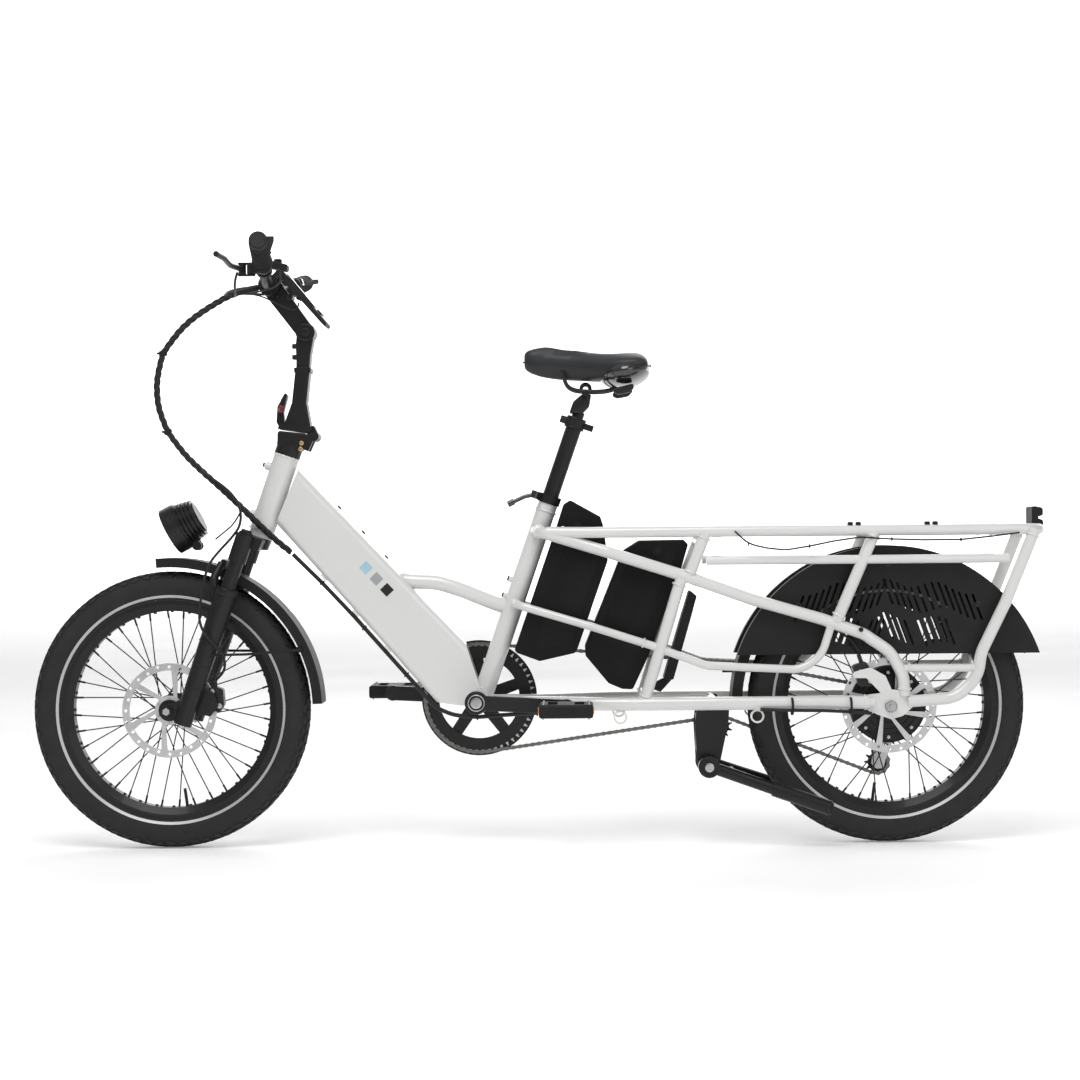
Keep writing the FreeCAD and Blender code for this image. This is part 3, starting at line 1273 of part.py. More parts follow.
def make_handlebar():
    pieces = []
    for side in (-1, 1):
        pieces.append(bent_rod(bar_points(side), bar_radius, 120.0))
        low = min(0.0, 46.0 * side)
        pieces.append(disc(bar_clamp_x, bar_clamp_z, bar_clamp_radius, low, low + 46.0))
    clamp = disc(bar_clamp_x, bar_clamp_z, 20.5, -22, 22)
    arm = plate([(stem_pivot_x - 14, stem_pivot_z - 9), (stem_pivot_x + 12, stem_pivot_z + 12),
                 (bar_clamp_x + 15, bar_clamp_z + 13), (bar_clamp_x - 12, bar_clamp_z - 14)], -12, 12, 4.0)
    joint = disc(stem_pivot_x, stem_pivot_z, 18.4, -12, 12)
    cross_bolt = disc(232, 1052, 6.0, -14.5, 14.5)
    body = joined(pieces + [clamp, arm, joint, cross_bolt])
    put("handlebar", "bars", body.cut(disc(stem_pivot_x, stem_pivot_z, 6.0 + running_clearance, -40, 40)))


def along_bar(side, y):
    line = bar_points(side)
    a, b = (line[2], line[3]) if abs(y) > 185 else (line[1], line[2])
    share = (abs(y) - abs(a.y)) / (abs(b.y) - abs(a.y))
    return a + (b - a) * share


def make_grips():
    grips = []
    for side in (-1, 1):
        a = along_bar(side, grip_start)
        b = along_bar(side, bar_half_length) + unit(along_bar(side, 340) - along_bar(side, 300)) * 3
        grip = rod(a, b, grip_radius)
        collar = rod(a, a + unit(b - a) * 12, grip_radius + 1.8)
        end = b - unit(b - a) * 4
        low = a + unit(b - a) * 52
        wing = [low + vec(4, 0, 8), end + vec(4, 0, 8), end + vec(28, 0, 8), low + vec(16, 0, 8)]
        face = Part.Face(Part.makePolygon(wing + [wing[0]]))
        solid = face.extrude(vec(0, 0, -9))
        whole = joined([grip, collar, solid])
        core = rod(a - unit(b - a) * 5, b - unit(b - a) * 3.01, bar_radius)
        grips.append(whole.cut(core))
    put("grips", "bars", Part.makeCompound(grips))


def make_handlebar_controls():
    pieces = []
    for side in (-1, 1):
        middle = along_bar(side, 190.0)
        along = unit(along_bar(side, 200) - along_bar(side, 180))
        band = rod(middle - along * 7, middle + along * 7, bar_radius + 5)
        body = softened(plate([(middle.x - 34, middle.z - 16), (middle.x - 4, middle.z - 14),
                               (middle.x + 2, middle.z + 6), (middle.x - 14, middle.z + 6),
                               (middle.x - 36, middle.z - 2)], -11, 11, 4.0), 2.0)
        body.translate(vec(0, middle.y, 0))
        pin_x = middle.x + lever_offset_x
        pin_z = middle.z + lever_offset_z
        reach = lever_hub_half + running_clearance
        mouth = Part.makeBox(40, 26, 2 * reach, vec(pin_x - 30, middle.y - 13, pin_z - reach))
        ears = [Part.makeBox(30, 14, 3, vec(pin_x - 7, middle.y - 7, pin_z + reach)),
                Part.makeBox(30, 14, 3, vec(pin_x - 7, middle.y - 7, pin_z - reach - 3)),
                Part.makeBox(12, 14, 9, vec(pin_x + 11, middle.y - 7, pin_z - reach - 3)),
                rod(vec(pin_x, middle.y, pin_z - reach - 3), vec(pin_x, middle.y, pin_z + reach + 3),
                    lever_pin_radius)]
        perch = joined([joined([band, body]).cut(mouth)] + ears)
        cut_bar = rod(middle - along * 60, middle + along * 60, bar_radius)
        pieces.append(perch.cut(cut_bar))
    near = along_bar(-1, 158.0)
    along = unit(along_bar(-1, 175) - along_bar(-1, 150))
    band = rod(near - along * 7, near + along * 7, bar_radius + 4)
    pod = plate([(near.x + 6, near.z + 4), (near.x + 44, near.z - 4), (near.x + 46, near.z + 8),
                 (near.x + 8, near.z + 18)], -14, 14, 4.0)
    pod = softened(pod, 2.0)
    pod.translate(vec(0, near.y, 0))
    holder = joined([band, pod]).cut(rod(near - along * 60, near + along * 60, bar_radius))
    slot = Part.makeBox(14.2, 10.2, 40, vec(near.x + 26 - 7.1, near.y - 5.1, near.z + 5.4))
    pieces.append(holder.cut(slot))
    far = along_bar(1, 150.0)
    along = unit(along_bar(1, 175) - along_bar(1, 150))
    band = rod(far - along * 8, far + along * 8, bar_radius + 5)
    window = softened(plate([(far.x - 14, far.z + 6), (far.x + 16, far.z + 8), (far.x + 14, far.z + 26),
                             (far.x - 12, far.z + 22)], -18, 18, 5.0), 2.0)
    window.translate(vec(0, far.y, 0))
    shell = plate([(far.x + 6, far.z - 14), (far.x + 34, far.z - 16), (far.x + 34, far.z - 4),
                   (far.x + 8, far.z + 6)], -12, 12, 4.0)
    shell.translate(vec(0, far.y, 0))
    pieces.append(joined([band, window, shell]).cut(rod(far - along * 60, far + along * 60, bar_radius)))
    display_near = plate([(209, 1097), (222, 1101), (305, 1000), (301, 993)], -36, 36, 3.0)
    strap = ring(bar_clamp_x, bar_clamp_z, bar_clamp_radius + 4, bar_clamp_radius, 24, 36)
    strap_near = ring(bar_clamp_x, bar_clamp_z, bar_clamp_radius + 4, bar_clamp_radius, -36, -24)
    bridge = plate([(198, 1088), (206, 1084), (220, 1098), (212, 1103)], 24, 36)
    bridge_near = plate([(198, 1088), (206, 1084), (220, 1098), (212, 1103)], -36, -24)
    screen = joined([softened(display_near, 1.2), strap, strap_near, bridge, bridge_near])
    screen = screen.cut(disc(bar_clamp_x, bar_clamp_z, bar_clamp_radius, -60, 60))
    pieces.append(screen)
    put("handlebar_controls", "bars", Part.makeCompound(pieces))


def make_brake_lever(name, side):
    middle = along_bar(side, 190.0)
    pivot = middle + vec(lever_offset_x, 0, lever_offset_z)
    blade = [pivot + vec(0, 4 * side, 0), pivot + vec(-16, 40 * side, 3), pivot + vec(-18, 95 * side, 9),
             pivot + vec(-26, 138 * side, 12)]
    hub = rod(pivot - vec(0, 0, lever_hub_half), pivot + vec(0, 0, lever_hub_half), lever_hub_radius)
    bore = rod(pivot - vec(0, 0, 20), pivot + vec(0, 0, 20), lever_pin_radius + running_clearance)
    put(name, name, joined([bent_rod(blade, 5.2, 60.0), hub]).cut(bore))
    return pivot


def make_throttle_lever():
    middle = along_bar(-1, 206.0)
    along = unit(along_bar(-1, 210) - along_bar(-1, 190))
    barrel = rod(middle - along * 3.8, middle + along * 3.8, bar_radius + 4)
    thumb = rod(middle + vec(6, 1.7, 10), middle + vec(13, 3.8, 22), 4.2)
    core = rod(middle - along * 60, middle + along * 60, bar_radius + running_clearance)
    put("throttle_lever", "throttle_lever", joined([barrel, thumb]).cut(core))
    return middle, along


def make_shift_lever():
    far = along_bar(1, 150.0)
    pivot = vec(far.x + 24, far.y, far.z - 10)
    tab = plate([(pivot.x - 5, pivot.z - 9), (pivot.x + 20, pivot.z - 19), (pivot.x + 24, pivot.z - 13),
                 (pivot.x + 5, pivot.z + 2), (pivot.x - 5, pivot.z + 2)], -8, 8, 2.0)
    tab.translate(vec(0, far.y + 21, 0))
    hub = rod(pivot + vec(0, 12.1, 0), pivot + vec(0, 29, 0), 6.0)
    put("shift_lever", "shift_lever", joined([tab, hub]))
    return pivot


def make_mode_button():
    near = along_bar(-1, 158.0)
    button = Part.makeBox(14, 10, 12, vec(near.x + 26 - 7, near.y - 5, near.z + 7.2))
    put("mode_button", "mode_button", button)


# ---- build everything ----------------------------------------------------------------
make_head_tube()
make_down_tube()
gusset = make_top_tube()
make_seat_tube()
make_bottom_bracket_shell()
make_chainstays()
make_dropouts()
make_cargo_rails()
make_side_tubes()
make_frame_fittings()
make_rear_fender()
make_taillight()
make_rear_caliper()
make_kickstand_bracket()
make_frame_cables()
make_fork_crown()
make_stem_base()
make_cable_bundle()
make_fork_lowers()
make_front_caliper()
make_front_fender()
lamp_pivot, lamp_along, lamp_back = make_headlight()
make_tyre("front_tyre", 0.0, "front_wheel")
make_rim("front_rim", 0.0, "front_wheel", -82.0)
make_spokes("front_spokes", 0.0, "front_wheel", front_flange_radius, front_flange_y, 2, 3.0)
make_front_hub()
make_rotor("front_rotor", 0.0, "front_wheel", front_rotor_y, 20.0, 6, 22.0)
make_tyre("rear_tyre", wheelbase, "rear_wheel")
make_rim("rear_rim", wheelbase, "rear_wheel", -98.0)
make_spokes("rear_spokes", wheelbase, "rear_wheel", motor_radius, rear_flange_y, 1, 4.0)
make_hub_motor()
make_rotor("rear_rotor", wheelbase, "rear_wheel", rear_rotor_y, 14.0, 8, 30.0)
make_cassette()
make_chain()
make_chainring()
make_crank_arms()
make_pedal("left_pedal", -1)
make_pedal("right_pedal", 1)
make_derailleur()
make_derailleur_cage()
make_jockey("jockey_upper", upper_jockey_x, upper_jockey_z)
make_jockey("jockey_lower", lower_jockey_x, lower_jockey_z)
make_chain_idler()
make_kickstand_legs()
make_seatpost()
make_saddle()
lever_pivot = make_seat_clamp_lever()
make_battery("battery_front", battery_outline_front(), 752.0, 600.0)
make_battery("battery_rear", battery_outline_rear(), 930.0, 560.0)
make_mast()
make_latch_lever()
make_handlebar()
make_grips()
make_handlebar_controls()
left_pivot = make_brake_lever("brake_lever_left", -1)
right_pivot = make_brake_lever("brake_lever_right", 1)
throttle_place, throttle_along = make_throttle_lever()
shift_pivot = make_shift_lever()
make_mode_button()

# ---- fit welded and bolted neighbours to one another -----------------------------------
# A later node in the list gives way to every earlier node of the same body.
order = list(nodes)
for i in range(len(order)):
    name = order[i]
    shape = nodes[name]
    cutters = []
    for earlier in order[:i]:
        if rides_with[earlier] != rides_with[name]:
            continue
        if filled[earlier].BoundBox.intersect(shape.BoundBox):
            cutters.append(filled[earlier])
    for cutter in cutters:
        if shape.distToShape(cutter)[0] < EPSILON:
            shape = shape.cut(cutter)
    nodes[name] = shape

# ---- move to the bottom centre and write the files -------------------------------------
whole = Part.makeCompound([nodes[name] for name in order])
box = whole.optimalBoundingBox(False) if hasattr(whole, "optimalBoundingBox") else whole.BoundBox
middle_x = (box.XMin + box.XMax) / 2
middle_y = (box.YMin + box.YMax) / 2
shift = vec(-middle_x, -middle_y, -box.ZMin)
os.makedirs("parts", exist_ok=True)
for name in order:
    shape = nodes[name]
    shape.translate(shift)
    solids = shape.Solids
    print(name, len(solids), "valid" if shape.isValid() else "NOT VALID", round(shape.Volume))
    if len(solids) == 1:
        shape = solids[0]
    else:
        shape = Part.makeCompound(solids)
    shape.exportStep("parts/" + name + ".step")
print("shift", round(shift.x, 4), round(shift.y, 4), round(shift.z, 4))
print("box", round(box.XLength, 2), round(box.YLength, 2), round(box.ZLength, 2))
print("smallest cable corner radius", round(min(corner_radii), 1))
print("lamp pivot", lamp_pivot, "lever pivot", lever_pivot)
print("brake pivots", left_pivot, right_pivot)
print("throttle", throttle_place, throttle_along, "shift", shift_pivot)
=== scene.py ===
"""Cargo bicycle: finishes, soft parts and small fittings on top of the solid model."""

import json
import logging
import math
import random
from dataclasses import dataclass, field
from enum import Enum
from typing import Iterable, Optional, Sequence

import bmesh
import bpy
from mathutils import Matrix, Vector
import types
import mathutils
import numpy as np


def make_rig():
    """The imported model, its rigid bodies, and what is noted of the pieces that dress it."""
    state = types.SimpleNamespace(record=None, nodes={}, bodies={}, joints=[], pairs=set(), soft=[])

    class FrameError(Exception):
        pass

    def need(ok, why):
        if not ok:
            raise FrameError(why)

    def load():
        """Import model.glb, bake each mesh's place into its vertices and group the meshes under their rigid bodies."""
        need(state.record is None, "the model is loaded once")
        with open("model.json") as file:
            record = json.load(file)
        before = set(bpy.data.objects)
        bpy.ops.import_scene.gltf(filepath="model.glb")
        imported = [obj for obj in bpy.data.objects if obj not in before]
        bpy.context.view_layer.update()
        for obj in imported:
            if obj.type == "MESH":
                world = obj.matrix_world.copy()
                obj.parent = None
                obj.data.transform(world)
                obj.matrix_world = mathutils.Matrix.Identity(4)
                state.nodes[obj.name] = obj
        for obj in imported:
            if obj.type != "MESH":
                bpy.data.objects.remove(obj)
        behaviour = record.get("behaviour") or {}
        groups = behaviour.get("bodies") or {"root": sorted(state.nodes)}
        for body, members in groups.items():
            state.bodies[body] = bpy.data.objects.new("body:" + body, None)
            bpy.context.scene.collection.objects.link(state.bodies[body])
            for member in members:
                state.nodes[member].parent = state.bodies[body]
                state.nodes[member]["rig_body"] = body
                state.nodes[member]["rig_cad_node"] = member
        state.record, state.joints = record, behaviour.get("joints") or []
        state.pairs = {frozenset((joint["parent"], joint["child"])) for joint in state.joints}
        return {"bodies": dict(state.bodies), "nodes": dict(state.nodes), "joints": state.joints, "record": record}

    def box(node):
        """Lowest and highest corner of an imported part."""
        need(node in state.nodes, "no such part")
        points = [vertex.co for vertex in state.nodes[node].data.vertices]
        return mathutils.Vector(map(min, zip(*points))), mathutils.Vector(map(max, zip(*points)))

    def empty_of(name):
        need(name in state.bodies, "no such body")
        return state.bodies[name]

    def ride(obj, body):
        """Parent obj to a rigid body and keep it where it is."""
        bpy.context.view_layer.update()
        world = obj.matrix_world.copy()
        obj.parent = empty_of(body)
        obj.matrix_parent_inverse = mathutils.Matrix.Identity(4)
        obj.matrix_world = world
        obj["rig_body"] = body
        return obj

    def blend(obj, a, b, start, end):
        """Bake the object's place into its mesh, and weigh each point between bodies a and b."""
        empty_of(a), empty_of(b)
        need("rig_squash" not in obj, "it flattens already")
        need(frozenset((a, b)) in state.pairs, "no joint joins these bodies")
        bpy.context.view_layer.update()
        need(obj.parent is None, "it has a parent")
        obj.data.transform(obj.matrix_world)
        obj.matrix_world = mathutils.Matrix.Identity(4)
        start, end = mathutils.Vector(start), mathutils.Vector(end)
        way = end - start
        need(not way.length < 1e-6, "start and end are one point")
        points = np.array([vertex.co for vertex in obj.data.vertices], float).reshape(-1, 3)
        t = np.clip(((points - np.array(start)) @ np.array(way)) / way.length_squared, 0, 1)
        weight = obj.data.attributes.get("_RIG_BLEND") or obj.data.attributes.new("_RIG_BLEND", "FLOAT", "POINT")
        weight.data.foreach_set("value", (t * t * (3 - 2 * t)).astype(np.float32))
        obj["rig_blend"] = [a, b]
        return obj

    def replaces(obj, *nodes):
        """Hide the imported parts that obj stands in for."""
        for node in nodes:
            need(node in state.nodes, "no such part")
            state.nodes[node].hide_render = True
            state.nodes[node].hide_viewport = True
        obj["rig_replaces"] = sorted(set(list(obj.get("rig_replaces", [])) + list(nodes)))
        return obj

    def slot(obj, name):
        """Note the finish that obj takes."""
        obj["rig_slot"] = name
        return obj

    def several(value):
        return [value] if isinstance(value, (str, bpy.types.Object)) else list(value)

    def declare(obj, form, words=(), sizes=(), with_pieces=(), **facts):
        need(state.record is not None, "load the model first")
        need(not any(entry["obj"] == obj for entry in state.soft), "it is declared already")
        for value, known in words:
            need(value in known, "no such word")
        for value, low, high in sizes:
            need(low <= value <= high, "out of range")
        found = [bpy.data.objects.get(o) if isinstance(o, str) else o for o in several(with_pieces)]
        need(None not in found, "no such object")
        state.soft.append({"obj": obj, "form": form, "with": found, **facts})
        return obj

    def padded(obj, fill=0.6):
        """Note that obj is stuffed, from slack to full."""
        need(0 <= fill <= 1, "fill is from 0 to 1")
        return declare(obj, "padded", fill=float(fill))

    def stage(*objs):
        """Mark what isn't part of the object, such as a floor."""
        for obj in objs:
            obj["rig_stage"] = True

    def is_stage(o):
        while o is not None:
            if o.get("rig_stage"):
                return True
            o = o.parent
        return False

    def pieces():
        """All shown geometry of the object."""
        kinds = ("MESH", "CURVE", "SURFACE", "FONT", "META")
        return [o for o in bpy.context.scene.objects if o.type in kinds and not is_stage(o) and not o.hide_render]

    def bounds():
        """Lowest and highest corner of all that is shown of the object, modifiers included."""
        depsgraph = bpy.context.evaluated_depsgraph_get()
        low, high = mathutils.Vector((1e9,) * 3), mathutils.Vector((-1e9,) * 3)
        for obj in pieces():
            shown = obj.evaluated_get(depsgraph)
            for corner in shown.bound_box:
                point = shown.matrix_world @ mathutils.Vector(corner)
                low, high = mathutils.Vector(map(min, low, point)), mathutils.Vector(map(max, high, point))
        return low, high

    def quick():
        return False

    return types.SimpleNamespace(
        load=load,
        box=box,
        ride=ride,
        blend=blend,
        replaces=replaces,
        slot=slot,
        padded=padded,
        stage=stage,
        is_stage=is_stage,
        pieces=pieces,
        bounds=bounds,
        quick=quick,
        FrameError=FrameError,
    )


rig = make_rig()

LOG = logging.getLogger("cargo_bicycle")
Colour = tuple[float, float, float]
Point = tuple[float, float, float]


# ---------------------------------------------------------------- shader arithmetic
class Wave:
    """A shader socket that takes part in Python arithmetic."""

    def __init__(self, sheet: "Sheet", socket: bpy.types.NodeSocket) -> None:
        """Keep the sheet of nodes and the socket.

        Args:
            sheet: The material's node builder.
            socket: The output socket to calculate with.
        """
        self.sheet = sheet
        self.socket = socket

    def _work(self, operation: str, first: object, second: object) -> "Wave":
        """Add one Math node.

        Args:
            operation: The Math node's operation.
            first: A wave or a number.
            second: A wave or a number.

        Returns:
            The node's result.
        """
        made = self.sheet.node("ShaderNodeMath", {"operation": operation}, {0: first, 1: second})
        return Wave(self.sheet, made.outputs[0])

    def __add__(self, other: object) -> "Wave":
        """Sum."""
        return self._work("ADD", self, other)

    def __radd__(self, other: object) -> "Wave":
        """Sum, reflected."""
        return self._work("ADD", other, self)

    def __sub__(self, other: object) -> "Wave":
        """Difference."""
        return self._work("SUBTRACT", self, other)

    def __rsub__(self, other: object) -> "Wave":
        """Difference, reflected."""
        return self._work("SUBTRACT", other, self)

    def __mul__(self, other: object) -> "Wave":
        """Product."""
        return self._work("MULTIPLY", self, other)

    def __rmul__(self, other: object) -> "Wave":
        """Product, reflected."""
        return self._work("MULTIPLY", other, self)

    def above(self, level: float) -> "Wave":
        """One where the wave is over the level, else zero."""
        return self._work("GREATER_THAN", self, level)


class Sheet:
    """Builds the nodes of one material."""

    def __init__(self, name: str) -> None:
        """Start a material with a Principled shader.

        Args:
            name: The material's name.
        """
        self.material = bpy.data.materials.new(name)
        self.material.use_nodes = True
        self.tree = self.material.node_tree
        self.shader = self.tree.nodes["Principled BSDF"]

    def node(self, kind: str, settings: Optional[dict] = None,
             sockets: Optional[dict] = None) -> bpy.types.Node:
        """Add any node.

        Args:
            kind: The node's type.
            settings: Attributes set first; "stops" gives a ramp's places and colours.
            sockets: Values or waves for its inputs.

        Returns:
            The new node.
        """
        made = self.tree.nodes.new(kind)
        for key, value in (settings or {}).items():
            if key == "stops":
                ramp = made.color_ramp
                ramp.elements[0].position, ramp.elements[0].color = value[0]
                ramp.elements[1].position, ramp.elements[1].color = value[1]
            else:
                setattr(made, key, value)
        for key, value in (sockets or {}).items():
            if isinstance(value, Wave):
                self.tree.links.new(value.socket, made.inputs[key])
            elif value is not None:
                made.inputs[key].default_value = value
        return made

    def place(self, scale: Point = (1.0, 1.0, 1.0)) -> Wave:
        """Object coordinates, stretched.

        Args:
            scale: How much each axis is multiplied.

        Returns:
            The mapped coordinates.
        """
        source = self.node("ShaderNodeTexCoord")
        mapped = self.node("ShaderNodeMapping", {},
                           {"Vector": Wave(self, source.outputs["Object"]), "Scale": scale})
        return Wave(self, mapped.outputs[0])

    def noise(self, size: float, detail: float = 3.0, scale: Point = (1.0, 1.0, 1.0)) -> Wave:
        """Soft noise.

        Args:
            size: Width of one patch in metres.
            detail: Octaves.
            scale: Stretch of each axis.

        Returns:
            Values about one half.
        """
        made = self.node("ShaderNodeTexNoise", {}, {"Vector": self.place(scale), "Scale": 1.0 / size,
                                                    "Detail": detail})
        return Wave(self, made.outputs[0])

    def cells(self, size: float, edges: bool = False) -> Wave:
        """Cell pattern.

        Args:
            size: Width of one cell in metres.
            edges: Give the distance to the cell walls in place of the distance to its middle.

        Returns:
            The distance.
        """
        feature = "DISTANCE_TO_EDGE" if edges else "F1"
        made = self.node("ShaderNodeTexVoronoi", {"feature": feature},
                         {"Vector": self.place(), "Scale": 1.0 / size})
        return Wave(self, made.outputs["Distance"])

    def blend(self, share: Wave, low: Colour, high: Colour) -> Wave:
        """Mix two colours.

        Args:
            share: How much of the second colour.
            low: First colour.
            high: Second colour.

        Returns:
            The mixed colour.
        """
        made = self.node("ShaderNodeMix", {"data_type": "RGBA"}, {0: share, 6: (*low, 1.0), 7: (*high, 1.0)})
        return Wave(self, made.outputs[2])

    def set(self, name: str, value: object) -> None:
        """Give one of the shader's inputs a value or a wave."""
        if isinstance(value, Wave):
            self.tree.links.new(value.socket, self.shader.inputs[name])
        else:
            self.shader.inputs[name].default_value = value

    def raise_by(self, height: Wave, depth: float, strength: float = 1.0) -> None:
        """Drive the normal with a bump.

        Args:
            height: The relief, about zero to one.
            depth: Its height in metres.
            strength: Share of it that shows.
        """
        made = self.node("ShaderNodeBump", {}, {"Strength": strength, "Distance": depth, "Height": height})
        self.tree.links.new(made.outputs[0], self.shader.inputs["Normal"])


class Surface(Enum):
    """How a finish's fine relief is made."""

    PAINTED = "painted"
    MOULDED = "moulded"
    BRUSHED = "brushed"
    GRAINED = "grained"
    RUBBERY = "rubbery"
    RIBBED = "ribbed"
    CLEAR = "clear"


@dataclass(frozen=True)
class Finish:
    """One finish: its colours, gloss and relief."""

    name: str
    colour: Colour
    roughness: float
    surface: Surface
    metallic: float = 0.0
    coat: float = 0.0
    spread: float = 0.12
    second: Optional[Colour] = None
    patch: float = 0.05
    grain: float = 0.0012
    depth: float = 0.00005
    glow: float = 0.0
    shine: float = 0.5

    def build(self) -> bpy.types.Material:
        """Make the material once and hand it back after that.

        Returns:
            The finished material.
        """
        known = bpy.data.materials.get(self.name)
        if known:
            return known
        sheet = Sheet(self.name)
        other = self.second or tuple(min(1.0, c * 1.35 + 0.004) for c in self.colour)
        patches = sheet.noise(self.patch, 4.0)
        sheet.set("Base Color", sheet.blend(patches * 1.4 - 0.2, self.colour, other))
        sheet.set("Metallic", self.metallic)
        sheet.set("Specular IOR Level", self.shine)
        sheet.set("Roughness", patches * self.spread + (self.roughness - self.spread / 2))
        if self.coat:
            sheet.set("Coat Weight", self.coat)
            sheet.set("Coat Roughness", 0.06)
        if self.surface is Surface.PAINTED:
            sheet.raise_by(sheet.noise(self.grain, 2.0), self.depth, 0.25)
        elif self.surface is Surface.MOULDED:
            sheet.raise_by(sheet.noise(self.grain, 5.0) + sheet.cells(self.grain * 1.6) * 0.6, self.depth,
                           0.7)
        elif self.surface is Surface.BRUSHED:
            sheet.raise_by(sheet.noise(self.grain, 3.0, (0.04, 0.04, 1.0)), self.depth, 0.5)
        elif self.surface is Surface.GRAINED:
            sheet.raise_by(sheet.cells(self.grain, True) * 1.6 + sheet.noise(self.grain * 0.4, 3.0) * 0.3,
                           self.depth, 0.9)
        elif self.surface is Surface.RUBBERY:
            sheet.raise_by(sheet.noise(self.grain, 6.0) * 0.8 + sheet.noise(self.grain * 8, 2.0) * 0.5,
                           self.depth, 0.8)
        elif self.surface is Surface.RIBBED:
            ribs = sheet.node("ShaderNodeTexWave", {"bands_direction": "Y"},
                              {"Vector": sheet.place(), "Scale": 1.0 / (self.grain * 6.28 * 0.5)})
            sheet.raise_by(Wave(sheet, ribs.outputs[1]) + sheet.noise(0.0006, 4.0) * 0.4, self.depth, 0.9)
        else:
            sheet.set("Transmission Weight", 0.6)
            sheet.set("IOR", 1.49)
            sheet.raise_by(sheet.cells(self.grain), self.depth, 0.4)
        if self.glow:
            sheet.set("Emission Color", (*other, 1.0))
            sheet.set("Emission Strength", self.glow)
        return sheet.material


